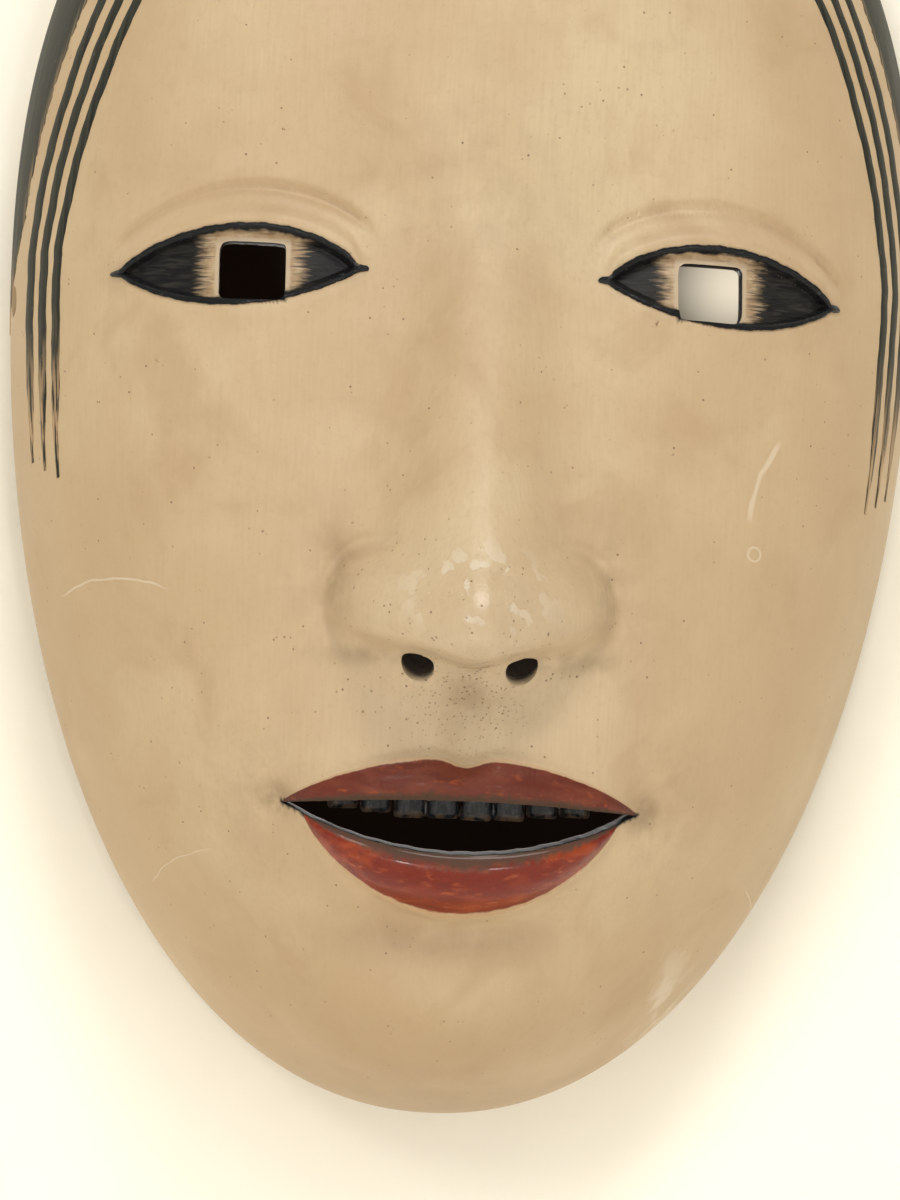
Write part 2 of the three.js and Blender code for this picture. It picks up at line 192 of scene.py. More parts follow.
def upper_lid(x):
    u = eye_place(x)
    arch = UPPER_LID_RISE * np.maximum(1 - u * u, 0) ** 0.75 * (1 - 0.12 * u)
    return EYE_HEIGHT + 0.2 - 0.5 * u + arch


def lower_lid(x):
    u = eye_place(x)
    sag = LOWER_LID_FALL * np.maximum(1 - u * u, 0) ** 0.9 * (1 + 0.10 * u)
    return EYE_HEIGHT + 0.2 - 0.5 * u - sag


def nose(x, h):
    drop = soft_ramp((BRIDGE_TOP - h) / (BRIDGE_TOP - NOSE_TIP), 0.16)
    along = np.clip(1 - soft_ramp(1 - drop, 0.10), 0, 1) ** 1.15
    below = soft_ramp((NOSE_TIP - h) / 8, 0.3)
    height = 0.9 + 8.8 * along + 2.6 * along ** 4 - 1.0 * below ** 2
    width = 6.8 + 0.9 * along + 1.8 * along ** 4
    ridge = height * np.exp(-np.abs(x / width) ** 2.8)
    skirt = (1.4 + 6.8 * along) * np.exp(-np.abs(x / 13.0) ** 2.2)
    root = 1 - step(116, 158, h)
    tip = 1.6 * bump(x, h, 0, NOSE_TIP - 1, 7.0, 4.6)
    wings = groove = 0.0
    for side in (-1, 1):
        wings = wings + 6.8 * np.exp(-(((x - side * 12.2) / 5.4) ** 2 + ((h - 76.6) / 5.6) ** 2) ** 1.5)
        out, up = (side * x - 12.2) / 5.6, (h - 76.4) / 6.2
        ring = np.exp(-((np.hypot(out, up) - 1.32) / 0.20) ** 2)
        groove = groove + 1.1 * ring * step(-0.5, 0.9, out + 0.35 * up)
    base = NOSE_BASE + 0.4 - 1.3 * np.exp(-(x / 4.0) ** 2)
    base = base + 1.2 * np.clip((np.abs(x) - 8) / 9, 0, 1) ** 2
    under = step(base - 1.2, base + 2.4, h) ** 0.8
    skirt = skirt - groove
    return ((ridge + tip) * root + wings) * under, skirt * root * step(base - 9, base + 5, h)


def lips(x, h):
    top, bottom = mouth_top(x), mouth_bottom(x)
    up = (h - top) / np.maximum(upper_lip_top(x) - top, 0.5)
    down = (bottom - h) / np.maximum(bottom - lower_lip_bottom(x), 0.5)
    upper = 2.5 * np.sin(np.pi * np.clip(up * 0.62 + 0.30, 0, 1)) * (up < 1.2)
    lower = 4.0 * np.sin(np.pi * np.clip(down * 0.74 + 0.20, 0, 1)) ** 0.9
    borders = 0.55 * np.exp(-((h - upper_lip_top(x) - 0.2) / 0.65) ** 2) * taper(x, MOUTH_HALF) ** 0.4
    lower_border = 0.4 * np.exp(-((h - lower_lip_bottom(x) + 0.3) / 0.7) ** 2)
    borders = borders + lower_border * taper(x, MOUTH_HALF - 3) ** 0.4
    return upper * taper(x, MOUTH_HALF + 1) ** 0.6 + lower * taper(x, MOUTH_HALF - 2) ** 0.6 + borders


def eyes(x, h):
    u = eye_place(x)
    up, low = upper_lid(x), lower_lid(x)
    inside = np.minimum(up - h, h - low)
    ends = 1 - step(0.92, 1.12, np.abs(u))
    recess = 1.2 * step(-0.3, 0.9, inside) * (1 - step(0.98, 1.05, np.abs(u)))
    rolls = 1.2 * np.exp(-((h - up - 1.6) / 1.5) ** 2) + 0.5 * np.exp(-((h - low + 1.6) / 1.6) ** 2)
    arch = EYE_HEIGHT + 3.4 + 8.2 * np.maximum(1 - (u * 0.86) ** 2, 0) ** 0.8 - 1.6 * u
    crease = 1.25 * np.exp(-((h - arch) / 0.8) ** 2) * (1 - step(0.95, 1.2, np.abs(u)))
    return rolls * ends - recess - crease


def relief(x, h):
    """Everything on the dome but the nose."""
    form = 2.6 * pair(x, h, EYE_X, EYE_HEIGHT, 12, 8) - 3.2 * pair(x, h, 20, 130, 9, 8)
    form = form + 3.5 * pair(x, h, 33, 84, 17, 20) + 1.5 * bump(x, h, 0, 165, 40, 22)
    form = form + 5.5 * bump(x, h, 0, 53, 24, 15)
    form = form + 7 * bump(x, h, 0, 17, 17, 11) - 3.5 * bump(x, h, 0, 32, 17, 4.5)
    form = form - 1.0 * bump(x, h, 0, 63, 2.0, 4.5) + 0.5 * pair(x, h, 4.2, 62, 1.6, 4.5)
    form = form - 1.3 * pair(x, h, 26.0, 49.2, 2.4, 2.6) - 1.1 * pair(x, h, 24, 62, 3.5, 9)
    return form + lips(x, h) + eyes(x, h)


def front_relief(x, h):
    ridge, skirt = nose(x, h)
    return relief(x, h) + ridge + skirt


def back_relief(x, h):
    form = 7.5 * bump(x, h, 0, 81, 6.5, 11) + 3 * pair(x, h, 33, 84, 17, 20)
    form = form + 1.5 * bump(x, h, 0, 165, 40, 22) + 3 * bump(x, h, 0, 52, 20, 12)
    return form + 4 * bump(x, h, 0, 18, 15, 10)


def carved_back(x, h):
    """The hollow, with a funnel behind each pupil opening and a pocket behind the mouth."""
    form = back_relief(x, h)
    smooth_front = front_relief(x, h) - WOOD_TOP + WOOD_BACK
    pupil = ((np.abs(np.abs(x) - PUPIL_X) / 1.15) ** 3 + np.abs(h - EYE_HEIGHT) ** 3) ** (1 / 3)
    funnel = 1 - step(5.0, 12.5, pupil)
    form = form + funnel * (smooth_front - PUPIL_WALL - form)
    mouth = np.sqrt((x / 25) ** 2 + ((h - MOUTH_HEIGHT - 2.5) / 8.5) ** 2)
    pocket = 1 - step(0.85, 1.35, mouth)
    return form + pocket * np.maximum(smooth_front - LIP_WALL - form, 0)


def gouge_marks(x, h):
    """Shallow scoops left by a round gouge, in staggered rows that run down the hollow."""
    width, length = 5.2, 11.0
    column, row = x / width, h / length
    deepest = np.full_like(x, -1.0)
    for across in (-1, 0, 1):
        for along in (-1, 0, 1):
            i, j = np.floor(column) + across, np.floor(row) + along
            shift_x = 0.5 + 0.32 * np.sin(12.99 * i + 78.23 * j)
            shift_h = 0.5 + 0.38 * np.sin(39.35 * i + 11.14 * j + 1.3 * i * j)
            size = 1 + 0.2 * np.sin(7.1 * i + 3.7 * j)
            reach = ((column - i - shift_x) / 0.95) ** 2 + ((row - j - shift_h) / 0.9) ** 2
            deepest = np.maximum(deepest, size - reach)
    return GOUGE_DEPTH * np.clip(deepest, 0, None)


def gouged_back(x, h):
    return carved_back(x, h) + gouge_marks(x, h)


# ---- Layers on one polar grid ----

def outline_reach(angle, from_height=POLE_HEIGHT):
    """The distance from a point on the centre line to the outline, along each angle."""
    near, far = np.zeros_like(angle), np.full_like(angle, HEIGHT)
    for _ in range(40):
        middle = (near + far) / 2
        inside = radius(middle * np.cos(angle), from_height + middle * np.sin(angle)) < 1
        near, far = np.where(inside, middle, near), np.where(inside, far, middle)
    return near


def layer_points(t, angle, depth, features):
    """Points at grid parameter t, 0 at the pole and 1 at the rim, a depth below the surface."""
    quarter = t * math.pi / 2
    reach = outline_reach(angle) * np.sin(quarter)
    x = reach * np.cos(angle)
    h = POLE_HEIGHT + reach * np.sin(angle)
    rim = quarter > math.pi / 2 - 1e-6
    height = np.where(rim, 0, surface_height(x, h, features))
    inward = depth * np.sin(quarter) ** 4
    backward = np.where(rim, 0, depth * np.cos(quarter * np.sin(quarter) ** 3))
    points = np.stack([
        x - inward * np.cos(angle),
        -np.maximum(height - backward, 0),
        h - CORD_HEIGHT - inward * np.sin(angle),
    ], axis=-1)
    return points * MM


def grid_faces(rings, sectors, start, flip):
    faces = []
    for s in range(sectors):
        n = (s + 1) % sectors
        first = (start, start + 1 + s, start + 1 + n)
        faces.append(first[::-1] if flip else first)
        for r in range(rings - 1):
            a = start + 1 + r * sectors
            b = a + sectors
            quad = (a + s, b + s, b + n, a + n)
            faces.append(quad[::-1] if flip else quad)
    return faces


def grid_parameters(rings, sectors):
    t = np.repeat(np.arange(1, rings + 1) / rings, sectors)
    angle = np.tile(np.arange(sectors) / sectors * 2 * math.pi, rings)
    return np.concatenate([[0.0], t]), np.concatenate([[0.0], angle])


def surface_height(x, h, features):
    """The dome with the features on it, which fade out at the rim."""
    return dome(x, h) + features(x, h) * (1 - step(0.9, 1, radius(x, h)))


def front_height(x, h):
    return surface_height(x, h, front_relief)


def droop(x, h, depth=0.0):
    """How far the nose's front hangs below its root, which undercuts its base."""
    ridge, _ = nose(x, h)
    return NOSE_DROOP * np.maximum(ridge - 2 - depth, 0)


def hang(points, depth):
    """Points in metres with the nose's droop added, less of it for the layers further in."""
    x, h = points[:, 0] / MM, points[:, 2] / MM + CORD_HEIGHT
    hung = points.copy()
    hung[:, 2] -= droop(x, h, depth) * MM
    return hung


def layer_mesh(name, front, back, sectors, zones=()):
    """A closed solid between two surfaces, each (depth, features, rings)."""
    bm = bmesh.new()
    rims = []
    for (depth, features, rings), flip in ((front, False), (back, True)):
        t, angle = grid_parameters(rings, sectors)
        points = layer_points(t, angle, depth, features)
        if features is front_relief:
            points = hang(points, depth)
        start = len(bm.verts)
        verts = [bm.verts.new(p) for p in points]
        for face in grid_faces(rings, sectors, 0, flip):
            bm.faces.new([verts[i] for i in face])
        if not flip:
            refine_zones(bm, zones)
        bm.verts.ensure_lookup_table()
        rim = [v for v in bm.verts[start:] if abs(v.co.y) < 1e-9]
        rims.append(sorted(rim, key=rim_angle))
    for s in range(sectors):
        n = (s + 1) % sectors
        bm.faces.new((rims[0][s], rims[1][s], rims[1][n], rims[0][n]))
    return bmesh_object(name, bm)


def rim_angle(vert):
    return math.atan2(vert.co.z / MM + CORD_HEIGHT - POLE_HEIGHT, vert.co.x / MM) % (2 * math.pi)


def refine_zones(bm, zones):
    """Halves the edges in each zone of the coat's outer surface, and puts the new points on it."""
    for low_x, high_x, low_h, high_h in zones:
        def inside(vert):
            h = vert.co.z / MM + CORD_HEIGHT
            return low_x < abs(vert.co.x) / MM < high_x and low_h < h < high_h
        edges = [e for e in bm.edges if inside(e.verts[0]) and inside(e.verts[1])]
        before = len(bm.verts)
        bmesh.ops.subdivide_edges(bm, edges=edges, cuts=1, use_grid_fill=True)
        bm.verts.ensure_lookup_table()
        fresh = bm.verts[before:]
        points = np.array([v.co for v in fresh])
        x, h = points[:, 0] / MM, points[:, 2] / MM + CORD_HEIGHT
        rest = h.copy()
        for _ in range(12):
            rest = h + droop(x, rest)
        height = front_height(x, rest)
        for vert, y in zip(fresh, height):
            vert.co.y = -y * MM


def linked(name, data):
    """A new object in the scene, from a mesh, a camera or a light."""
    obj = bpy.data.objects.new(name, data)
    bpy.context.scene.collection.objects.link(obj)
    return obj


def bmesh_object(name, bm):
    """A new object from a closed bmesh, with its normals turned outwards."""
    bmesh.ops.recalc_face_normals(bm, faces=bm.faces)
    mesh = bpy.data.meshes.new(name)
    bm.to_mesh(mesh)
    bm.free()
    return linked(name, mesh)


def solid(name, points, faces):
    bm = bmesh.new()
    verts = [bm.verts.new(p) for p in points]
    for face in faces:
        bm.faces.new([verts[i] for i in face])
    return bmesh_object(name, bm)


def apply_modifiers(obj):
    """Puts the result of an object's modifiers in its mesh."""
    graph = bpy.context.evaluated_depsgraph_get()
    mesh = bpy.data.meshes.new_from_object(obj.evaluated_get(graph))
    obj.modifiers.clear()
    old = obj.data
    obj.data = mesh
    bpy.data.meshes.remove(old)


def configure(target, settings):
    for name, value in settings.items():
        setattr(target, name, value)
    return target


def add_modifier(obj, kind, **settings):
    return configure(obj.modifiers.new(kind.lower(), kind), settings)


def modify(obj, kind, **settings):
    """Puts the result of one new modifier in an object's mesh."""
    add_modifier(obj, kind, **settings)
    bpy.context.view_layer.update()
    apply_modifiers(obj)


def cut(obj, cutters):
    for cutter in cutters:
        add_modifier(obj, "BOOLEAN", operation="DIFFERENCE", solver="MANIFOLD", object=cutter)
    bpy.context.view_layer.update()
    apply_modifiers(obj)


def shade(obj, sharp_degrees):
    obj.data.polygons.foreach_set("use_smooth", [True] * len(obj.data.polygons))
    obj.data.set_sharp_from_angle(angle=math.radians(sharp_degrees))


# ---- Cutters ----

def wobble(position, size, seed):
    """A hand's small unevenness along a line."""
    return size * (np.sin(position * 1.7 + seed) + 0.6 * np.sin(position * 3.9 + 2.1 * seed)
                   + 0.4 * np.sin(position * 8.3 + 3.3 * seed)) / 2


def prism(name, outline):
    """A closed prism along Y through the whole mask, from (x, height) points."""
    count = len(outline)
    points = [(x * MM, y, (h - CORD_HEIGHT) * MM) for y in (-0.1, 0.02) for x, h in outline]
    faces = [tuple(range(count)), tuple(range(2 * count - 1, count - 1, -1))]
    for i in range(count):
        n = (i + 1) % count
        faces.append((i, i + count, n + count, n))
    return solid(name, points, faces)


def rounded_square(centre_x, centre_h, width, height, corner=0.9, per_side=8):
    angles = circle(4 * per_side) + 0.1
    power = 2 / (2 + 6 / corner)
    x = squared(np.cos(angles), power) * width / 2
    h = squared(np.sin(angles), power) * height / 2
    return list(zip(centre_x + x + wobble(h, 0.12, centre_x), centre_h + h + wobble(x, 0.12, centre_x)))


def pupil_cutter(side):
    return prism("cut_pupil", rounded_square(side * PUPIL_X, EYE_HEIGHT, PUPIL_WIDTH, PUPIL_HEIGHT))


def mouth_cutter():
    x = np.linspace(-MOUTH_HALF, MOUTH_HALF, 60)
    lower = list(zip(x, mouth_bottom(x) + wobble(x, 0.10, 1)))
    upper = list(zip(x, mouth_top(x) + wobble(x, 0.10, 5)))
    return prism("cut_mouth", lower + upper[-2:0:-1])


def rod(name, start, end, rod_radius, sides=28):
    """A closed round rod, in millimetres and heights."""
    start, end = (Vector((p[0], p[1], p[2] - CORD_HEIGHT)) * MM for p in (start, end))
    bm = bmesh.new()
    bmesh.ops.create_cone(bm, cap_ends=True, segments=sides, radius1=rod_radius * MM,
                          radius2=rod_radius * MM, depth=(end - start).length)
    turn = (end - start).to_track_quat("Z", "Y").to_matrix().to_4x4()
    turn.translation = (start + end) / 2
    bmesh.ops.transform(bm, matrix=turn, verts=bm.verts)
    return bmesh_object(name, bm)


def nostril_cutter(side):
    mirror = (side, 1, 1)
    start, end = ([a * b for a, b in zip(mirror, place)] for place in (NOSTRIL_FROM, NOSTRIL_TO))
    return rod("cut_nostril", start, end, NOSTRIL_RADIUS)


def cord_hole_cutter(side):
    start, end = ((side * x, CORD_HOLE_Y, CORD_HEIGHT) for x in (40, 80))
    return rod("cut_cord_hole", start, end, CORD_HOLE_RADIUS)


# ---- Paint films: thin closed skins on the coat ----

def film_mesh(name, x, h, proud, sink=0.12):
    """A closed skin over a grid of points on the coat, standing proud of it by the heights given."""
    surface = np.stack([x, -front_height(x, h), h - droop(x, h) - CORD_HEIGHT], axis=-1)
    normal = slope_normal(front_height, x, h, 0.06, -1)
    outer = (surface + normal * np.asarray(proud)[..., None]).reshape(-1, 3) * MM
    inner = (surface - normal * sink).reshape(-1, 3) * MM
    rows, columns = x.shape
    count = rows * columns
    faces = []
    for r in range(rows - 1):
        for c in range(columns - 1):
            a = r * columns + c
            quad = (a, a + 1, a + columns + 1, a + columns)
            faces += [quad, tuple(i + count for i in quad[::-1])]
    border = list(range(columns)) + [r * columns + columns - 1 for r in range(1, rows)]
    border += [(rows - 1) * columns + c for c in range(columns - 2, -1, -1)]
    border += [r * columns for r in range(rows - 2, 0, -1)]
    for a, b in zip(border, border[1:] + border[:1]):
        faces.append((b, a, a + count, b + count))
    return solid(name, np.concatenate([outer, inner]), faces)


def coordinates(obj):
    points = np.empty(len(obj.data.vertices) * 3)
    obj.data.vertices.foreach_get("co", points)
    return points.reshape(-1, 3)


def vertex_places(obj):
    """Every vertex's x and height, in millimetres, and its depth behind the coat's surface."""
    points = coordinates(obj) / MM
    x, h = points[:, 0], points[:, 2] + CORD_HEIGHT
    return x, h, points[:, 1] + front_height(x, h)


def paint(obj, name, values):
    attribute = obj.data.attributes.new(name, "FLOAT", "POINT")
    attribute.data.foreach_set("value", np.asarray(values, dtype=np.float32))


def grid(low, high, columns, rows):
    return np.meshgrid(np.linspace(low, high, columns), np.linspace(0, 1, rows))


def eye_outline(x, seed):
    """The painted line's outer edge above and below an eye, drawn past the lids to a point."""
    u = eye_place(x)
    end = np.sqrt(np.clip(1 - (np.maximum(np.abs(u) - 0.98, 0) / 0.12) ** 2, 0, 1))
    up = upper_lid(x) + 0.10 + 0.55 * end + wobble(x, 0.10, seed)
    low = lower_lid(x) - 0.05 - 0.45 * end + wobble(x, 0.09, seed + 2)
    return up, low


def pupil_distance(x, h):
    dx = np.maximum(np.abs(np.abs(x) - PUPIL_X) - PUPIL_WIDTH / 2, 0)
    dh = np.maximum(np.abs(h - EYE_HEIGHT) - PUPIL_HEIGHT / 2, 0)
    return np.hypot(dx, dh)


def add_eye(name, side, cutter):
    u, t = grid(-1.10, 1.10, 190, 46)
    x = side * (EYE_X + u * EYE_HALF)
    up, low = eye_outline(x, 3.0 + side)
    h = low + (up - low) * t
    edge = np.minimum(up - h, h - low)
    bead = 0.14 * step(0, 0.35, edge) * (1 - step(0.7, 1.5, edge))
    film = film_mesh(name + "_fine", x, h, 0.22 + bead)
    cut(film, [cutter])
    x, h, _ = vertex_places(film)
    up, low = eye_outline(x, 3.0 + side)
    paint(film, "edge", np.minimum(up - h, h - low))
    paint(film, "hole", pupil_distance(x, h))
    finish_piece(film, name, eye_material(), 50)


def add_lip(name, inner, outer, half, red, bright, gloss, coat):
    x, t = grid(-half, half, 200, 40)
    near, far = inner(x), outer(x)
    far = far + wobble(x, 0.10, half) * taper(x, half) ** 0.5
    h = near + (far - near) * (0.01 + 0.99 * t)
    edge = np.minimum(t, 1 - t) * np.abs(far - near)
    film = film_mesh(name + "_fine", x, h, 0.05 + 0.10 * step(0, 0.5, edge))
    x, h, _ = vertex_places(film)
    near, far = inner(x), outer(x)
    rise = (h - near) * np.where(far > near, 1, -1)
    paint(film, "along", np.clip(rise / np.maximum(np.abs(far - near), 0.4), 0, 1))
    paint(film, "across", np.abs(x) / MOUTH_HALF)
    finish_piece(film, name, lip_material(name, red, bright, gloss, coat), 60)


def polar_film(name, angle, inset, proud):
    """A skin in the band of the outline's inset distances, seen round the mask's widest point."""
    reach = outline_reach(angle[0], WIDEST)[None, :]
    far = reach - inset
    x, h = far * np.cos(angle), WIDEST + far * np.sin(angle)
    return film_mesh(name, x, h, proud)


def hair_inset(angle):
    return 2.5 + 10.5 * np.maximum(np.sin(angle), 0) ** 1.2


def strand_inset(angle, order):
    return hair_inset(angle) + order * (2.2 + 0.8 * np.maximum(np.sin(angle), 0))


def add_crown():
    angle, t = grid(-0.15, math.pi + 0.15, 420, 44)
    reach = outline_reach(angle[0], WIDEST)[None, :]
    fringe = wobble(angle * 70, 0.16, 2) + wobble(angle * 210, 0.10, 4)
    end = step(-0.16, 0.10, np.minimum(angle, math.pi - angle))
    inner = (hair_inset(angle) + fringe) * (0.12 + 0.88 * end)
    quarter = np.arcsin(1 - inner / reach)
    quarter = quarter + (math.pi / 2 * (1 - 1 / 120) - quarter) * t
    inset = reach * (1 - np.sin(quarter))
    film = polar_film("hair_crown_fine", angle, inset, 0.05 + 0.09 * step(0, 0.12, t))
    paint_hair(film, lambda inset, angle: 0.5 * step(0.9, 0.0, hair_inset(angle) - inset)
               + step(0.05, -0.13, np.minimum(angle, math.pi - angle)))
    finish_piece(film, "hair_crown", hair_material(), 60)


def add_strand(side, order):
    s, t = grid(0, 1, 300, 9)
    start, end = -0.42 - 0.03 * order, math.pi / 2 - 0.03
    angle = start + (end - start) * s
    if side < 0:
        angle = math.pi - angle
    thin = 0.35 + 0.65 * step(0, 0.10, s) * (1 - 0.8 * step(0.955, 1, s))
    width = 1.3 * thin + wobble(s * 60, 0.07, order + 3 * side)
    inset = strand_inset(angle, order) + wobble(s * 22, 0.13, order * side) + (t - 0.5) * width
    film = polar_film("strand", angle, inset, 0.05 + 0.10 * np.sin(np.pi * t))
    name = f"hair_strand_{'right' if side > 0 else 'left'}_{order}"
    film.name = name + "_fine"
    paint_hair(film, lambda inset, angle:
               step(-0.12, -0.42, np.where(np.cos(angle) > 0, angle, math.pi - angle)))
    finish_piece(film, name, hair_material(), 60)


def paint_hair(film, dry):
    """Lays the brush's run over a hair piece: across it, along it, and where the brush ran dry."""
    x, h, _ = vertex_places(film)
    angle = np.arctan2(h - WIDEST, x)
    angle = np.where(angle < -math.pi / 2, angle + 2 * math.pi, angle)
    distance = np.hypot(x, h - WIDEST)
    inset = outline_reach(angle, WIDEST) - distance
    paint(film, "across", inset)
    paint(film, "along", angle * distance)
    paint(film, "dry", np.clip(dry(inset, angle), 0, 1))


def add_brow(name, side):
    u, t = grid(-1, 1, 90, 40)
    x = side * BROW_X + u * 14
    h = BROW_HEIGHT + (2 * t - 1) * 5.2 * np.sqrt(np.maximum(1.02 - u * u, 0.02)) - 0.6 * u * side
    cover = np.clip(1 - np.hypot(u, (h - BROW_HEIGHT) / 5.0), 0, 1)
    film = film_mesh(name + "_fine", x, h, -0.03 + 0.10 * step(0, 0.25, cover))
    x, h, _ = vertex_places(film)
    cover = 1 - np.hypot((np.abs(x) - BROW_X) / 14, (h - BROW_HEIGHT) / 5.0)
    paint(film, "cover", np.clip(cover, 0, 1))
    finish_piece(film, name, brow_material(), 60)


# ---- Teeth ----

TEETH = 8
TEETH_WIDTH = 36.0
TEETH_SETBACK = 5.0
TOOTH_TIP = 0.4


def mouth_depth(x):
    """How far back the teeth's faces stand at x, in millimetres."""
    return -front_height(np.array([x]), np.array([MOUTH_HEIGHT]))[0] + TEETH_SETBACK


def add_teeth():
    """Eight blackened teeth under one gum, joined and softened as carved wood is."""
    pitch = TEETH_WIDTH / TEETH
    bm = bmesh.new()
    for index in range(TEETH):
        x = (index + 0.5 - TEETH / 2) * pitch
        y = mouth_depth(x) + 1.5
        lean = math.atan2(-2 * x, 75)
        tip = mouth_line(x) + TOOTH_TIP + 0.15 * math.sin(index * 2.4)
        levels = ((0, 1.85, 0.75), (0.12, 2.03, 1.05), (0.5, 2.11, 1.3), (2.5, 2.03, 1.5),
                  (4.5, 1.75, 1.55), (6.0, 1.6, 1.5))
        rings = []
        for up, half_width, half_depth in levels:
            angles = circle(28)
            across = half_width * squared(np.cos(angles), 0.55)
            deep = half_depth * squared(np.sin(angles), 0.75)
            ring = [
                bm.verts.new(((x + a * math.cos(lean) - d * math.sin(lean)) * MM,
                              (y + a * math.sin(lean) + d * math.cos(lean)) * MM,
                              (tip + up - CORD_HEIGHT) * MM))
                for a, d in zip(across, deep)
            ]
            rings.append(ring)
        skin(bm, rings, closed=False)
    rings = []
    for x in np.linspace(-TEETH_WIDTH / 2 - 0.2, TEETH_WIDTH / 2 + 0.2, 60):
        y = mouth_depth(x) + 1.7
        h = mouth_line(x) + TOOTH_TIP + 5.2
        rings.append([bm.verts.new((x * MM, (y + 1.5 * math.cos(a)) * MM,
                                    (h + 1.2 * math.sin(a) - CORD_HEIGHT) * MM)) for a in circle(16)])
    skin(bm, rings, closed=False)
    teeth = bmesh_object("teeth_upper_fine", bm)
    modify(teeth, "REMESH", mode="VOXEL", voxel_size=0.2 * MM)
    modify(teeth, "SMOOTH", factor=0.5, iterations=3)
    x, h, _ = vertex_places(teeth)
    local = np.abs((x / pitch + TEETH / 2) % 1 - 0.5) * 2
    tip = step(1.3, 0.2, h - mouth_line(x) - TOOTH_TIP)
    paint(teeth, "worn", np.clip(tip + 0.7 * step(0.72, 0.95, local), 0, 1))
    finish_piece(teeth, "teeth_upper", teeth_material(), 60)


def skin(bm, rings, closed):
    """Faces between rings of vertices in order, with ends unless they join up."""
    pairs = list(zip(rings, rings[1:])) + ([(rings[-1], rings[0])] if closed else [])
    for first, second in pairs:
        count = len(first)
        for i in range(count):
            n = (i + 1) % count
            bm.faces.new((first[i], first[n], second[n], second[i]))
    if not closed:
        bm.faces.new(rings[0])
        bm.faces.new(rings[-1][::-1])


# ---- Pads ----

CLOTH_SCALE = 10.0
CLOTH_FRAMES = 20
CLOTH_CAP = 6.0
SEAM_PITCH = 1.5
CASE_HALF = 1.6
PAD_SINK = 0.4
TUFT_DRAW = 0.8
PIPING_RADIUS = 0.55
STITCH_RADIUS = 0.14
STITCH_REACH = 0.72
TUFT_THREAD_RADIUS = 0.2


def pillow(name, half_width, half_height, start_half):
    """A flat stuffed case, ten times its size, as two skins that meet at a seam."""
    angles = circle(72)
    x = half_width * squared(np.cos(angles), 0.8)
    h = half_height * squared(np.sin(angles), 0.8)
    bm = bmesh.new()
    levels = [(0.12, 1.0), (0.6, 0.9), (0.9, 0.6), (1.0, 0.25)]
    levels += [(share, -lift) for share, lift in reversed(levels)]
    skin(bm, [[bm.verts.new((a * share, b * share, lift * start_half)) for a, b in zip(x, h)]
              for share, lift in levels], closed=False)
    for vert in bm.verts:
        vert.co *= MM * CLOTH_SCALE
    return bmesh_object(name, bm)


def inflate(obj, seed):
    """Fills the case with wadding: pressure lifts the cloth."""
    modify(obj, "REMESH", mode="VOXEL", voxel_size=1.5 * MM * CLOTH_SCALE)
    points = coordinates(obj)
    group = obj.vertex_groups.new(name="seam")
    for vert in obj.data.vertices:
        group.add([vert.index], 0.0, "REPLACE")
    cloth = add_modifier(obj, "CLOTH")
    cloth.settings.effector_weights.gravity = 0.0
    configure(cloth.settings, {
        "quality": 6, "mass": 0.3, "use_pressure": True, "uniform_pressure_force": 4.0,
        "tension_stiffness": 12, "compression_stiffness": 12, "shear_stiffness": 6,
        "bending_stiffness": 0.4, "shrink_min": 0.02 + 0.005 * math.sin(seed)})
    cloth.collision_settings.use_self_collision = False
    cloth.point_cache.frame_start = 1
    cloth.point_cache.frame_end = CLOTH_FRAMES
    scene = bpy.context.scene
    for number in range(1, CLOTH_FRAMES + 1):
        scene.frame_set(number)
    apply_modifiers(obj)
    scene.frame_set(1)
    moved = coordinates(obj)
    push = moved - points
    length = np.linalg.norm(push, axis=1, keepdims=True)
    cap = CLOTH_CAP * MM * CLOTH_SCALE
    moved = points + push * np.minimum(1, cap / np.maximum(length, 1e-9))
    obj.data.vertices.foreach_set("co", moved.ravel())


def back_surface(lacquer):
    """The lacquered hollow as a smoothed height map: a function from x and height to (y, normal)."""
    tree = BVHTree.FromPolygons([v.co for v in lacquer.data.vertices],
                                [tuple(f.vertices) for f in lacquer.data.polygons])
    xs, hs = np.arange(-56, 57, 2.0), np.arange(56, 190, 2.0)
    heights = np.zeros((len(hs), len(xs)))
    for j, h in enumerate(hs):
        for i, x in enumerate(xs):
            start = Vector((x * MM, 0.05, (h - CORD_HEIGHT) * MM))
            hit = tree.ray_cast(start, Vector((0, -1, 0)))[0]
            heights[j, i] = hit.y / MM if hit else 0
    for _ in range(3):
        edge = np.pad(heights, 1, mode="edge")
        heights = (edge[:-2, 1:-1] + edge[2:, 1:-1] + edge[1:-1, :-2] + edge[1:-1, 2:] + 2 * heights) / 6

    def height(x, h):
        fx = np.clip((x - xs[0]) / 2, 0, len(xs) - 1.001)
        fh = np.clip((h - hs[0]) / 2, 0, len(hs) - 1.001)
        i, j = fx.astype(int), fh.astype(int)
        a, b = fx - i, fh - j
        low = heights[j, i] * (1 - a) + heights[j, i + 1] * a
        high = heights[j + 1, i] * (1 - a) + heights[j + 1, i + 1] * a
        return low * (1 - b) + high * b

    def place(x, h, lift):
        """Points a distance off the hollow's surface, in metres."""
        normal = slope_normal(height, x, h, 1.5, 1)
        base = np.stack([x, height(x, h), h - CORD_HEIGHT], axis=-1)
        return (base + normal * lift[..., None]) * MM
    return place


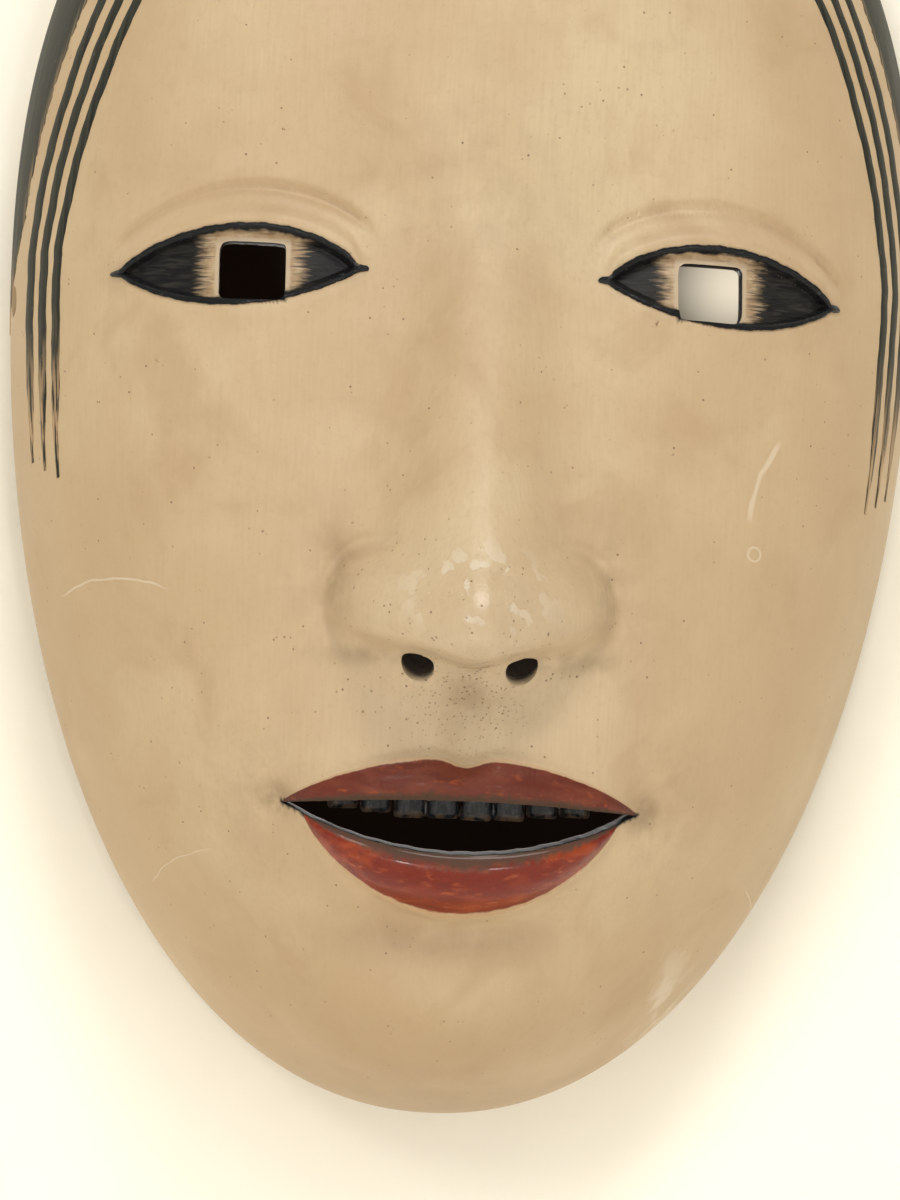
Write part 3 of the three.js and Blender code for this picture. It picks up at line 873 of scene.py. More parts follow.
def tuft_dent(u, v, tufts):
    """How far the stitches through a pad draw it in, with pleats running out from each."""
    dent = np.zeros_like(u)
    for tuft_u, tuft_v in tufts:
        far = np.hypot(u - tuft_u, v - tuft_v)
        angle = np.arctan2(v - tuft_v, u - tuft_u)
        pleat = 0.45 * np.cos(7 * angle + tuft_u) * np.exp(-(far / 5.0) ** 2) * step(0.5, 2.0, far)
        dent = dent + 2.2 * np.exp(-(far / 2.6) ** 1.4) + pleat
    return dent


def seam_line(u, v, w, half_width, half_height, pitch):
    """The pad's outermost points in order round its middle, as evenly spaced (u, v, w)."""
    across, up = u / half_width, v / half_height
    angle, far = np.arctan2(up, across), np.hypot(across, up)
    line = []
    for at in np.linspace(-math.pi, math.pi, 120, endpoint=False):
        close = np.abs((angle - at + math.pi) % (2 * math.pi) - math.pi) < 0.06
        best = np.argmax(np.where(close, far, 0))
        reach = far[best]
        line.append((reach * half_width * math.cos(at), reach * half_height * math.sin(at), w[best]))
    line = np.array(line)
    for _ in range(3):
        line = (np.roll(line, 1, 0) + 2 * line + np.roll(line, -1, 0)) / 4
    run = np.linalg.norm(np.roll(line, -1, 0) - line, axis=1)
    place = np.concatenate([[0], np.cumsum(run)])
    even = np.linspace(0, place[-1], round(place[-1] / pitch), endpoint=False)
    ends = np.concatenate([line, line[:1]])
    return np.stack([np.interp(even, place, ends[:, k]) for k in range(3)], axis=1)


def tube(bm, path, tube_radius, closed, sides=8):
    """Adds a closed tube along a path in metres."""
    path = np.asarray(path)
    ahead = np.roll(path, -1, 0) - np.roll(path, 1, 0)
    if not closed:
        ahead[0], ahead[-1] = path[1] - path[0], path[-1] - path[-2]
    ahead /= np.linalg.norm(ahead, axis=1, keepdims=True)
    side = np.cross(ahead, np.array([0.31, 0.90, 0.30]))
    side /= np.linalg.norm(side, axis=1, keepdims=True)
    over = np.cross(side, ahead)
    rings = []
    for point, a, b in zip(path, side, over):
        rings.append([bm.verts.new(point + tube_radius * (a * math.cos(t) + b * math.sin(t)))
                      for t in circle(sides)])
    skin(bm, rings, closed)


def add_pad(name, centre, half_width, half_height, tufts, place, cloth, thread):
    pad = pillow(name + "_fine", half_width, half_height, CASE_HALF)
    inflate(pad, centre[0])
    u, v, w = coordinates(pad).T / (MM * CLOTH_SCALE)
    scale = PAD_DEPTH / (w.max() - w.min())
    w = (w - w.min()) * scale
    fit = min(half_width / np.abs(u).max(), half_height / np.abs(v).max())
    u, v = u * fit, v * fit
    middle = PAD_DEPTH / 2
    face = step(middle - 0.5, PAD_DEPTH - 0.5, w)
    w = w - face * tuft_dent(u, v, tufts) * TUFT_DRAW
    line = seam_line(u, v, w, half_width, half_height, SEAM_PITCH)
    pad.data.vertices.foreach_set("co", place(centre[0] + u, centre[1] + v, w - PAD_SINK).ravel())
    paint(pad, "weave_u", u + 0.4 * w)
    paint(pad, "weave_v", v + 0.4 * w)
    modify(pad, "SUBSURF", levels=1, render_levels=1)
    finish_piece(pad, name, cloth, 180)
    bm = bmesh.new()
    seam = place(centre[0] + line[:, 0], centre[1] + line[:, 1], line[:, 2] - PAD_SINK)
    tube(bm, seam, PIPING_RADIUS * MM, True)
    ahead = np.roll(line, -1, 0) - np.roll(line, 1, 0)
    for i in range(len(line)):
        out = np.array([ahead[i, 1], -ahead[i, 0]]) / np.hypot(*ahead[i, :2])
        turn = np.linspace(-2.0, 2.2, 9)
        slant = 0.5 * np.linspace(-1, 1, 9)
        along = np.array([-out[1], out[0]])
        spot = out * (STITCH_REACH * np.cos(turn) - 0.1)[:, None] + along * slant[:, None]
        spot = line[i, :2] + spot
        stitch = place(centre[0] + spot[:, 0], centre[1] + spot[:, 1],
                       line[i, 2] - PAD_SINK + STITCH_REACH * np.sin(turn))
        tube(bm, stitch, STITCH_RADIUS * MM, False, 6)
    for tuft_u, tuft_v in tufts:
        close = np.hypot(u - tuft_u, v - tuft_v) < 1.6
        top = np.max(np.where(close & (w > middle - 3), w, 0)) if close.any() else middle
        for lean in (0.7, 2.3):
            run = np.linspace(-1.5, 1.5, 7)
            spot_u, spot_v = tuft_u + run * math.cos(lean), tuft_v + run * math.sin(lean)
            lift = top - 0.35 - 0.12 * run ** 2
            thread_run = place(centre[0] + spot_u, centre[1] + spot_v, lift)
            tube(bm, thread_run, TUFT_THREAD_RADIUS * MM, False, 6)
    stitches = bmesh_object(name + "_seam", bm)
    shade(stitches, 60)
    stitches.data.materials.append(thread)
    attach(stitches, "root")


# ---- Materials ----

class Graph:
    """A material's node tree, with one short call for each kind of node."""

    def __init__(self, name, roughness=0.5, **constants):
        self.material = bpy.data.materials.new(name)
        self.material.use_nodes = True
        self.tree = self.material.node_tree
        self.shader = self.tree.nodes["Principled BSDF"]
        self.shader.inputs["Roughness"].default_value = roughness
        for socket, value in constants.items():
            self.shader.inputs[socket.replace("_", " ")].default_value = value
        texture = self.tree.nodes.new("ShaderNodeTexCoord")
        self.mm = self.scaled(texture.outputs["Object"], (1000, 1000, 1000))

    def node(self, kind, inputs, output=0, **settings):
        node = configure(self.tree.nodes.new(kind), settings)
        for socket, value in inputs.items():
            if isinstance(value, bpy.types.NodeSocket):
                self.tree.links.new(value, node.inputs[socket])
            elif value is not None:
                node.inputs[socket].default_value = value
        return node.outputs[output]

    def scaled(self, vector, factors):
        return self.vector("MULTIPLY", vector, factors)

    def math(self, operation, a, b=0.0):
        return self.node("ShaderNodeMath", {0: a, 1: b}, operation=operation)

    def vector(self, operation, a, b=None, output=0):
        return self.node("ShaderNodeVectorMath", {0: a, 1: b}, output, operation=operation)

    def add(self, a, b):
        return self.math("ADD", a, b)

    def times(self, a, b):
        return self.math("MULTIPLY", a, b)

    def ramp(self, value, low, high, to_low=0.0, to_high=1.0):
        inputs = {"Value": value, "From Min": low, "From Max": high, "To Min": to_low, "To Max": to_high}
        return self.node("ShaderNodeMapRange", inputs, interpolation_type="SMOOTHSTEP")

    def noise(self, size, detail=3.0, stretch=(1, 1, 1), distortion=0.0, shift=0.0):
        """Noise whose blotches measure about size, in millimetres."""
        place = self.vector("ADD", self.scaled(self.mm, [f / size for f in stretch]), (shift,) * 3)
        inputs = {"Vector": place, "Scale": 1.0, "Detail": detail, "Roughness": 0.55,
                  "Distortion": distortion}
        return self.node("ShaderNodeTexNoise", inputs)

    def blotches(self, size, detail, low, high, **options):
        """Noise from 0 below one level to 1 above another."""
        return self.ramp(self.noise(size, detail, **options), low, high)

    def wander(self, amount, size, detail, **options):
        """Noise centred on 0."""
        return self.times(self.add(self.noise(size, detail, **options), -0.5), amount)

    def cells(self, size):
        place = self.scaled(self.mm, (1 / size,) * 3)
        return self.node("ShaderNodeTexVoronoi", {"Vector": place, "Scale": 1.0})

    def attribute(self, name):
        return self.node("ShaderNodeAttribute", {}, 2, attribute_name=name)

    def far(self, centre, reach):
        """0 at a point given in millimetres, 1 at a reach from it along each axis."""
        offset = self.scaled(self.vector("SUBTRACT", self.mm, centre), [1 / r for r in reach])
        return self.vector("LENGTH", offset, output=1)

    def near(self, centre, reach):
        """1 at a point given in millimetres, falling to 0 at a reach along each axis."""
        return self.ramp(self.far(centre, reach), 1.0, 0.0)

    def mix(self, factor, a, b):
        a, b = (v if isinstance(v, bpy.types.NodeSocket) else (*v, 1) for v in (a, b))
        return self.node("ShaderNodeMix", {"Factor": factor, 6: a, 7: b}, 2, data_type="RGBA")

    def tint(self, colour, mask, amount, other):
        """The colour with an amount of another laid over it where the mask is 1."""
        return self.mix(self.times(mask, amount), colour, other)

    def bump(self, height, distance_mm, strength=1.0):
        inputs = {"Height": height, "Distance": distance_mm * MM, "Strength": strength}
        return self.node("ShaderNodeBump", inputs)

    def finish(self, colour=None, roughness=None, normal=None):
        wanted = {"Base Color": colour, "Roughness": roughness, "Normal": normal}
        for socket, value in wanted.items():
            if value is not None:
                self.tree.links.new(value, self.shader.inputs[socket])
        return self.material


CREAM = (0.66, 0.52, 0.325)
SKIN = (0.575, 0.42, 0.25)
SKIN_DARK = (0.47, 0.32, 0.18)
SKIN_GREY = (0.62, 0.51, 0.35)
# The browner colour laid towards the rim and chin: handling patina and painted shade together.
SKIN_PATINA_AND_SHADE = (0.43, 0.29, 0.145)
DIRT = (0.20, 0.125, 0.07)
INK = (0.010, 0.011, 0.012)


def skin_colour(g):
    """The gofun's colour: cloudy warm beige with brush streaks, pores and dirt in its creases, handling
    patina mixed with painted shade towards the rim and chin, and painted shade under the chin.
    """
    clouds = g.noise(34, 4, shift=3.1)
    colour = g.mix(g.ramp(clouds, 0.35, 0.68), SKIN, CREAM)
    patches = g.noise(13, 5, distortion=0.6, shift=7.7)
    colour = g.tint(colour, g.ramp(patches, 0.5, 0.72), 0.45, SKIN_DARK)
    muzzle = g.near((0, -58, -52), (34, 60, 26))
    colour = g.tint(colour, muzzle, 0.55, SKIN_GREY)
    # Handling patina and painted shade: browner towards the rim and round the chin, where the face turns
    # away from the light.
    chin_patina_and_shade = g.near((0, -30, -116), (60, 70, 30))
    patina_and_shade = g.math("MAXIMUM", g.attribute("patina_and_shade"), g.times(chin_patina_and_shade, 1.1))
    patina_and_shade = g.times(patina_and_shade, g.ramp(g.noise(18, 3, shift=12.0), 0.2, 0.6, 0.65, 1.0))
    colour = g.tint(colour, patina_and_shade, 0.62, SKIN_PATINA_AND_SHADE)
    # Painted shade under the chin, where the face curves under: darker and browner towards the chin's
    # lowest edge.
    uneven = g.ramp(g.noise(9, 4, shift=17.0), 0.2, 0.6, 0.5, 1.0)
    below = g.times(g.near((0, -34, -129), (54, 60, 36)), uneven)
    colour = g.tint(colour, below, 0.9, (0.32, 0.205, 0.108))
    under = g.times(g.near((0, -55, -53), (11, 40, 8)), g.blotches(4, 4, 0.3, 0.65, shift=15.0))
    colour = g.tint(colour, under, 0.35, (0.33, 0.23, 0.13))
    streaks = g.noise(0.5, 3, stretch=(1, 1, 0.06))
    colour = g.tint(colour, g.ramp(streaks, 0.35, 0.75), 0.17, SKIN_DARK)
    grain = g.noise(0.9, 4, shift=1.7)
    colour = g.tint(colour, g.ramp(grain, 0.50, 0.8), 0.28, SKIN_DARK)
    return colour


def specks(g):
    """Tiny dark pores, thicker round the nose and mouth."""
    dots = g.ramp(g.cells(1.15), 0.17, 0.08)
    some = g.blotches(2.3, 2, 0.60, 0.66, shift=5.0)
    crowd = g.times(g.near((0, -60, -50), (30, 60, 30)), 0.25)
    many = g.ramp(g.add(g.noise(3.1, 2, shift=11.0), crowd), 0.60, 0.72)
    coarse = g.times(dots, g.math("MAXIMUM", some, many))
    dust = g.times(g.near((0, -55, -54), (13, 40, 12)), g.blotches(2.0, 3, 0.33, 0.52, shift=13.0))
    fine = g.times(g.ramp(g.cells(0.55), 0.26, 0.14), dust)
    return g.math("MAXIMUM", coarse, fine)


def arc_scratch(g, centre, arc_radius, direction, reach, width):
    """A thin curved line: part of a circle seen from the front, on the side of the given direction."""
    flat = g.scaled(g.mm, (1, 0, 1))
    middle = (centre[0], 0, centre[1])
    wander = g.wander(1.2, 6, 2, shift=arc_radius)
    length = g.add(g.vector("DISTANCE", flat, middle, 1), wander)
    line = g.ramp(g.math("ABSOLUTE", g.add(length, -arc_radius)), width, width * 0.4)
    spot = (centre[0] + direction[0] * arc_radius, 0, centre[1] + direction[1] * arc_radius)
    return g.times(line, g.ramp(g.vector("DISTANCE", flat, spot, 1), reach, reach * 0.7))


# Each scratch's circle centre and radius, the side of it that shows, its reach and its width.
SCRATCHES = (
    ((-47, -58), 18, (-0.1, 1.0), 9, 0.22),
    ((60, -30), 22, (-1.0, 0.35), 7, 0.5),
    ((20, -100), 30, (0.9, 0.45), 8, 0.16),
    ((-30, -90), 14, (-0.6, 0.8), 6, 0.13),
    ((39, -33), 1.0, (0, 0), 3, 0.22),
)


def gofun_material():
    g = Graph("gofun_skin", 0.42, Specular_IOR_Level=0.34)
    colour = skin_colour(g)
    crease = g.attribute("crease")
    smudge = g.times(crease, g.blotches(4, 4, 0.25, 0.65, shift=2.0))
    colour = g.tint(colour, smudge, 0.5, DIRT)
    dots = specks(g)
    colour = g.tint(colour, dots, 0.75, DIRT)
    tip = g.near((0, -66, -40), (14, 18, 10))
    rubbed = g.times(tip, g.blotches(3.4, 5, 0.55, 0.59, distortion=0.3, shift=9.0))
    colour = g.tint(colour, rubbed, 0.6, (0.80, 0.74, 0.62))
    marks = 0.0
    for scratch in SCRATCHES:
        marks = g.math("MAXIMUM", marks, arc_scratch(g, *scratch))
    colour = g.tint(colour, marks, 0.42, (0.82, 0.72, 0.55))
    rub = g.times(g.near((32, -30, -99), (7, 60, 17)), g.blotches(6, 4, 0.45, 0.62, stretch=(1, 1, 0.3)))
    colour = g.tint(colour, rub, 0.5, (0.78, 0.70, 0.56))
    edge = g.attribute("rim_wear")
    here = g.blotches(13, 2, 0.46, 0.56, shift=14.0)
    chips = g.ramp(g.add(g.times(edge, 0.30), g.times(g.noise(1.9, 4, shift=4.0), here)), 0.74, 0.78)
    colour = g.tint(colour, chips, 0.8, (0.30, 0.18, 0.09))
    colour = g.mix(g.attribute("inked"), colour, INK)
    rough = g.add(0.36, g.times(g.noise(16, 3, shift=8.0), 0.16))
    for place, more in ((smudge, 0.25), (tip, -0.24), (g.attribute("inked"), 0.35)):
        rough = g.add(rough, g.times(place, more))
    fine = g.times(g.noise(0.45, 2), 0.5)
    bridge = g.ramp(g.near((0, -55, -20), (22, 40, 45)), 0, 1, 0.6, 1.5)
    brushed = g.times(g.noise(0.7, 3, stretch=(1, 1, 0.05)), bridge)
    soft = g.times(g.noise(5, 2), 1.5)
    height = g.add(g.add(fine, brushed), soft)
    for dent, depth in ((dots, 2.5), (marks, 1.2), (rubbed, 1.5), (chips, 4)):
        height = g.add(height, g.times(dent, -depth))
    return g.finish(colour, rough, g.bump(height, 0.045, 0.8))


def wood_material():
    g = Graph("hinoki_wood", 0.62)
    bend = g.times(g.noise(40, 2, stretch=(1, 1, 0.3)), 14)
    across, deep = (g.node("ShaderNodeSeparateXYZ", {0: g.mm}, axis) for axis in (0, 1))
    rings = g.math("SINE", g.times(g.add(g.add(g.times(across, 0.35), deep), bend), 3.2))
    late = g.ramp(rings, 0.1, 1.0)
    fibre = g.noise(0.4, 4, stretch=(1, 1, 0.04))
    colour = g.mix(late, (0.46, 0.29, 0.145), (0.30, 0.165, 0.075))
    colour = g.tint(colour, fibre, 0.5, (0.36, 0.215, 0.105))
    stain = g.blotches(20, 4, 0.45, 0.7, shift=6.0)
    colour = g.tint(colour, stain, 0.6, (0.13, 0.07, 0.035))
    colour = g.mix(g.attribute("inked"), colour, INK)
    height = g.add(g.times(late, -0.6), fibre)
    return g.finish(colour, g.ramp(stain, 0, 1, 0.66, 0.5), g.bump(height, 0.12, 0.7))


def lacquer_material():
    g = Graph("urushi_back", 0.35, Coat_Weight=0.25, Coat_Roughness=0.12)
    clouds = g.noise(26, 4, shift=1.0)
    colour = g.mix(g.ramp(clouds, 0.3, 0.7), (0.115, 0.046, 0.021), (0.27, 0.125, 0.055))
    worn = g.times(g.attribute("scallop_edge"), g.blotches(7, 4, 0.35, 0.6, shift=3.0))
    colour = g.tint(colour, worn, 0.7, (0.45, 0.27, 0.125))
    fibre = g.noise(0.5, 4, stretch=(1, 1, 0.05))
    colour = g.tint(colour, g.ramp(fibre, 0.45, 0.75), 0.35, (0.030, 0.014, 0.008))
    dust = g.blotches(1.6, 5, 0.60, 0.72, shift=5.0)
    colour = g.tint(colour, dust, 0.18, (0.40, 0.33, 0.25))
    rough = g.add(g.ramp(clouds, 0.3, 0.7, 0.26, 0.42), g.times(dust, 0.3))
    height = g.add(g.times(fibre, 0.8), g.times(g.noise(3, 3), 0.8))
    return g.finish(colour, rough, g.bump(height, 0.06, 0.7))


def eye_material():
    """Ink line round the lids, hatched grey towards the corners, tan beside the square opening."""
    g = Graph("eye_ink", 0.35, Specular_IOR_Level=0.2)
    edge, hole = g.attribute("edge"), g.attribute("hole")
    uneven = g.wander(1.1, 2.2, 3)
    line = g.ramp(g.add(edge, uneven), 1.25, 0.85)
    strokes = g.noise(0.42, 4, stretch=(0.10, 0.10, 1), distortion=0.8)
    shade_depth = g.ramp(g.add(hole, g.times(g.add(strokes, -0.5), 6.5)), 0.6, 3.4)
    tan = g.mix(g.blotches(1.4, 4, 0.3, 0.7), (0.40, 0.27, 0.15), (0.55, 0.42, 0.27))
    grey = g.mix(g.ramp(strokes, 0.40, 0.72), (0.007, 0.007, 0.008), (0.036, 0.033, 0.028))
    colour = g.mix(shade_depth, tan, grey)
    rim = g.ramp(hole, 0.75, 0.35)
    colour = g.tint(colour, rim, 0.8, (0.56, 0.45, 0.31))
    worn = g.blotches(0.8, 4, 0.66, 0.72, shift=4.0)
    ink = g.mix(g.times(worn, 0.5), INK, (0.10, 0.11, 0.12))
    colour = g.mix(line, colour, ink)
    rough = g.add(g.times(line, -0.16), g.ramp(strokes, 0.3, 0.7, 0.36, 0.50))
    height = g.add(g.times(line, 2.0), g.times(strokes, 0.6))
    height = g.add(height, g.times(g.noise(0.6, 3), 0.5))
    return g.finish(colour, rough, g.bump(height, 0.05, 0.9))


def hair_material():
    g = Graph("hair_ink", 0.42, Specular_IOR_Level=0.12)
    across = g.attribute("across")
    along = g.attribute("along")
    place = g.node("ShaderNodeCombineXYZ", {0: g.times(across, 2.6), 1: g.times(along, 0.07), 2: 0.0})
    bristle = g.node("ShaderNodeTexNoise", {"Vector": place, "Scale": 1.0, "Detail": 4.0, "Roughness": 0.6})
    colour = g.mix(g.ramp(bristle, 0.35, 0.7), (0.014, 0.015, 0.012), (0.050, 0.052, 0.040))
    dry = g.times(g.attribute("dry"), g.ramp(bristle, 0.42, 0.58))
    colour = g.mix(dry, colour, SKIN_DARK)
    dust = g.blotches(1.1, 4, 0.62, 0.74, shift=2.0)
    colour = g.tint(colour, dust, 0.3, (0.16, 0.13, 0.09))
    rough = g.ramp(bristle, 0.3, 0.7, 0.42, 0.62)
    return g.finish(colour, rough, g.bump(bristle, 0.06, 0.7))


def brow_material():
    """Soft smudges: the skin's own colour, darkened with dry ink towards the middle."""
    g = Graph("brow_ink", 0.5)
    colour = skin_colour(g)
    cover = g.attribute("cover")
    powder = g.noise(1.2, 5, stretch=(0.5, 1, 1))
    smoke = g.ramp(g.add(cover, g.times(g.add(powder, -0.5), 0.5)), 0.05, 0.95)
    colour = g.tint(colour, smoke, 0.82, (0.030, 0.028, 0.025))
    return g.finish(colour, None, g.bump(powder, 0.03, 0.5))


def lip_material(name, red, bright, gloss, coat):
    g = Graph(name, gloss, Specular_IOR_Level=0.24, Coat_Weight=coat, Coat_Roughness=0.08)
    across, along = g.attribute("across"), g.attribute("along")
    clouds = g.noise(5, 4, stretch=(0.5, 1, 1.4), distortion=0.8, shift=gloss * 10)
    colour = g.mix(g.ramp(clouds, 0.40, 0.68), red, bright)
    thin = g.blotches(1.0, 5, 0.56, 0.72, stretch=(0.35, 1, 1))
    colour = g.tint(colour, thin, 0.55, (0.43, 0.090, 0.022))
    wrinkle = g.noise(0.8, 4, stretch=(1, 1, 0.25), shift=3.0)
    colour = g.tint(colour, g.ramp(wrinkle, 0.5, 0.8), 0.45, (0.11, 0.022, 0.014))
    frayed = g.noise(0.7, 4, stretch=(1, 1, 0.25), shift=4.0)
    smoke = g.ramp(g.add(along, g.times(g.add(frayed, -0.5), 0.34)), 0.27, 0.08)
    colour = g.tint(colour, smoke, 0.85, (0.075, 0.050, 0.032))
    border = g.ramp(g.add(along, g.wander(0.08, 1.6, 4, shift=6.0)), 0.905, 0.95)
    corner = g.ramp(across, 0.80, 1.0)
    colour = g.tint(colour, corner, 0.6, (0.060, 0.030, 0.022))
    colour = g.tint(colour, border, 0.9, (0.60, 0.42, 0.25))
    rough = g.add(g.ramp(clouds, 0.3, 0.7, gloss, gloss + 0.12), g.times(smoke, 0.45))
    rough = g.add(rough, g.times(thin, 0.08))
    height = g.add(g.times(wrinkle, 0.9), g.times(g.noise(2.2, 3, shift=2.0), 1.2))
    return g.finish(colour, rough, g.bump(height, 0.11, 0.9))


def teeth_material():
    g = Graph("black_teeth", 0.2, Specular_IOR_Level=0.22, Coat_Weight=0.2, Coat_Roughness=0.08)
    worn = g.attribute("worn")
    wear = g.times(worn, g.blotches(1.3, 4, 0.40, 0.60))
    streak = g.noise(0.6, 4, stretch=(1, 1, 0.3))
    colour = g.mix(g.ramp(streak, 0.35, 0.75), (0.006, 0.008, 0.011), (0.022, 0.027, 0.034))
    colour = g.tint(colour, wear, 0.85, (0.13, 0.085, 0.05))
    rough = g.add(g.ramp(streak, 0.3, 0.7, 0.14, 0.30), g.times(wear, 0.25))
    return g.finish(colour, rough, g.bump(g.add(streak, g.noise(1.8, 2)), 0.08, 0.6))


def cloth_material():
    """Plain-woven cotton: two sets of threads that pass over and under each other."""
    g = Graph("pad_cotton", 0.9, Sheen_Weight=0.25, Sheen_Roughness=0.5)
    u, v = g.attribute("weave_u"), g.attribute("weave_v")
    turns = 2 * math.pi / THREAD_PITCH
    warp = g.math("SINE", g.times(u, turns))
    weft = g.math("SINE", g.times(v, turns))
    over = g.ramp(g.math("SINE", g.times(g.add(u, v), turns / 2)), -0.3, 0.3)
    threads = g.node("ShaderNodeMix", {"Factor": over, 2: warp, 3: weft})
    slub = g.noise(3, 4)
    colour = g.mix(g.ramp(threads, -1, 1), (0.42, 0.30, 0.18), (0.82, 0.67, 0.46))
    colour = g.tint(colour, g.ramp(slub, 0.45, 0.7), 0.35, (0.66, 0.57, 0.44))
    stain = g.blotches(11, 4, 0.46, 0.66, shift=6.0)
    colour = g.tint(colour, stain, 0.45, (0.30, 0.195, 0.11))
    return g.finish(colour, None, g.bump(threads, 0.16, 0.8))


def thread_material():
    g = Graph("sewing_thread", 0.7)
    twist = g.blotches(0.35, 2, 0.3, 0.7)
    colour = g.mix(twist, (0.16, 0.10, 0.06), (0.30, 0.20, 0.12))
    return g.finish(colour, None, g.bump(twist, 0.08, 0.6))


def floor_material():
    g = Graph("paper_floor", 0.9, Emission_Color=(1.0, 0.98, 0.95, 1), Emission_Strength=0.04)
    return g.finish(g.mix(g.noise(6, 4), (0.88, 0.87, 0.855), (0.92, 0.91, 0.895)))


def wall_material():
    """Paper with painted light and shade: it glows away from the mask's outline, which leaves a soft
    painted shadow round the rim, and in a spot behind the right eye opening; it is near black inside the
    outline, and clear from behind.
    """
    g = Graph("paper_wall", 0.9, Emission_Color=(1.0, 0.88, 0.68, 1))
    fibres = g.noise(6, 4)
    beside = g.far((0, 0, HEIGHT / 2 - CORD_HEIGHT), (HALF_WIDTH, math.inf, HEIGHT / 2))
    # Painted light: emission that rises away from the mask's outline, giving a soft painted shadow next to
    # the rim, and a glowing spot where the right eye opening looks onto the wall.
    painted_light_behind_eye = g.near((42, WALL_Y / MM, 9), (15, 10, 13))
    painted_wall_light = g.add(g.ramp(beside, 0.92, 1.3, 0, 0.29), g.times(painted_light_behind_eye, 0.85))
    g.tree.links.new(painted_wall_light, g.shader.inputs["Emission Strength"])
    paper = g.mix(fibres, (0.88, 0.85, 0.74), (0.92, 0.89, 0.78))
    # Painted shade: the wall is near black inside the mask's outline, so the hollow seen through the
    # openings reads dark.
    g.finish(g.mix(g.ramp(beside, 0.8, 0.98), (0.04, 0.037, 0.035), paper))
    clear = g.node("ShaderNodeBsdfTransparent", {})
    back_side = g.node("ShaderNodeNewGeometry", {}, 6)
    behind = g.math("MAXIMUM", back_side, g.node("ShaderNodeLightPath", {}, 1))
    shown = g.node("ShaderNodeMixShader", {0: behind, 1: g.shader.outputs[0], 2: clear})
    g.tree.links.new(shown, g.tree.nodes["Material Output"].inputs["Surface"])
    return g.material


# ---- Camera, stage and light ----

FRAME_WIDTH_MM = 137.0
FRAME_CENTRE_HEIGHT = 77.0
CAMERA_DISTANCE = 0.42
CAMERA_AZIMUTH = math.radians(-3.0)
CAMERA_ROLL = math.radians(2.5)
FLOOR_HEIGHT = -0.16
FLOOR_REACH = 60.0
WALL_Y = 0.002
WALL_REACH = 3.0
LIGHT_COLOUR = (1, 0.97, 0.93)

# Each light's place, the point it faces, its side and its power, in metres and watts.
LIGHTS = (
    ("key_right", (0.10, -0.62, 0.72), (0, 0, -0.02), 0.24, 2.95),
    ("key_left", (-0.34, -0.80, 0.34), (0, 0, -0.02), 0.16, 1.2),
    ("low_left", (-0.16, -0.80, -0.13), (0, 0, -0.06), 0.06, 0.5),
    ("low_right", (0.17, -0.80, -0.13), (0, 0, -0.06), 0.06, 0.38),
    ("rear_right", (0.14, 0.95, 0.35), (0, 0, 0), 0.35, 3.5),
    ("rear_left", (-0.12, 0.95, -0.10), (0, 0, 0), 0.2, 1.5),
)


def add_camera():
    data = bpy.data.cameras.new("camera")
    data.sensor_fit = "HORIZONTAL"
    data.sensor_width = 36
    data.lens = 36 * CAMERA_DISTANCE / (FRAME_WIDTH_MM * MM)
    data.clip_start = 0.01
    camera = linked("camera", data)
    target = Vector((0, 0, (FRAME_CENTRE_HEIGHT - CORD_HEIGHT) * MM))
    away = Vector((math.sin(CAMERA_AZIMUTH), -math.cos(CAMERA_AZIMUTH), 0))
    camera.location = target + away * CAMERA_DISTANCE
    look = (target - camera.location).to_track_quat("-Z", "Y")
    camera.rotation_euler = look.to_euler()
    camera.rotation_euler.rotate_axis("Z", CAMERA_ROLL)
    bpy.context.scene.camera = camera


def area_light(name, location, target, size, power):
    data = bpy.data.lights.new(name, "AREA")
    data.shape = "RECTANGLE"
    data.size = data.size_y = size
    data.energy = power
    data.color = LIGHT_COLOUR
    light = linked(name, data)
    light.location = location
    light.rotation_euler = (Vector(target) - Vector(location)).to_track_quat("-Z", "Y").to_euler()


def flat_sheet(name, corners, material):
    mesh = bpy.data.meshes.new(name)
    mesh.from_pydata(corners, [], [(0, 1, 2, 3)])
    mesh.materials.append(material)
    return linked(name, mesh)


def add_stage():
    """A pale floor, and a paper wall close behind the rim that is clear from behind, with painted light and
    shade on it.
    """
    low, far, wide = FLOOR_HEIGHT, FLOOR_REACH, WALL_REACH
    level = [(-far, -far, low), (far, -far, low), (far, far, low), (-far, far, low)]
    floor = flat_sheet("floor", level, floor_material())
    upright = [(x, WALL_Y, z) for x, z in ((-wide, low), (wide, low), (wide, wide), (-wide, wide))]
    wall = flat_sheet("backdrop", upright, wall_material())


def add_lights():
    world = bpy.data.worlds.new("studio")
    world.use_nodes = True
    sky = world.node_tree.nodes["Background"].inputs
    sky["Color"].default_value = (1, 0.985, 0.96, 1)
    sky["Strength"].default_value = 0.40
    bpy.context.scene.world = world
    for light in LIGHTS:
        area_light(*light)


add_camera()
add_stage()
add_lights()
bpy.context.scene.view_settings.view_transform = "Standard"


# ---- The pieces ----

# How finely the layers are meshed, and the lowest and highest x and height of the zones that are
# meshed twice as finely on the coat: the eyes, the mouth and the nose.
COAT_RINGS = 108
COAT_BACK_RINGS = 64
COAT_SECTORS = 340
WOOD_RINGS = 72
BACK_RINGS = 110
BACK_SECTORS = 300
FINE_ZONES = ((14, 52, 108, 134), (-1, 28, 30, 60), (-1, 20, 62, 88))


def finish_piece(obj, node, material, sharp_degrees=40):
    shade(obj, sharp_degrees)
    obj.data.materials.clear()
    obj.data.materials.append(material)
    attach(obj, "root")
    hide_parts(node)


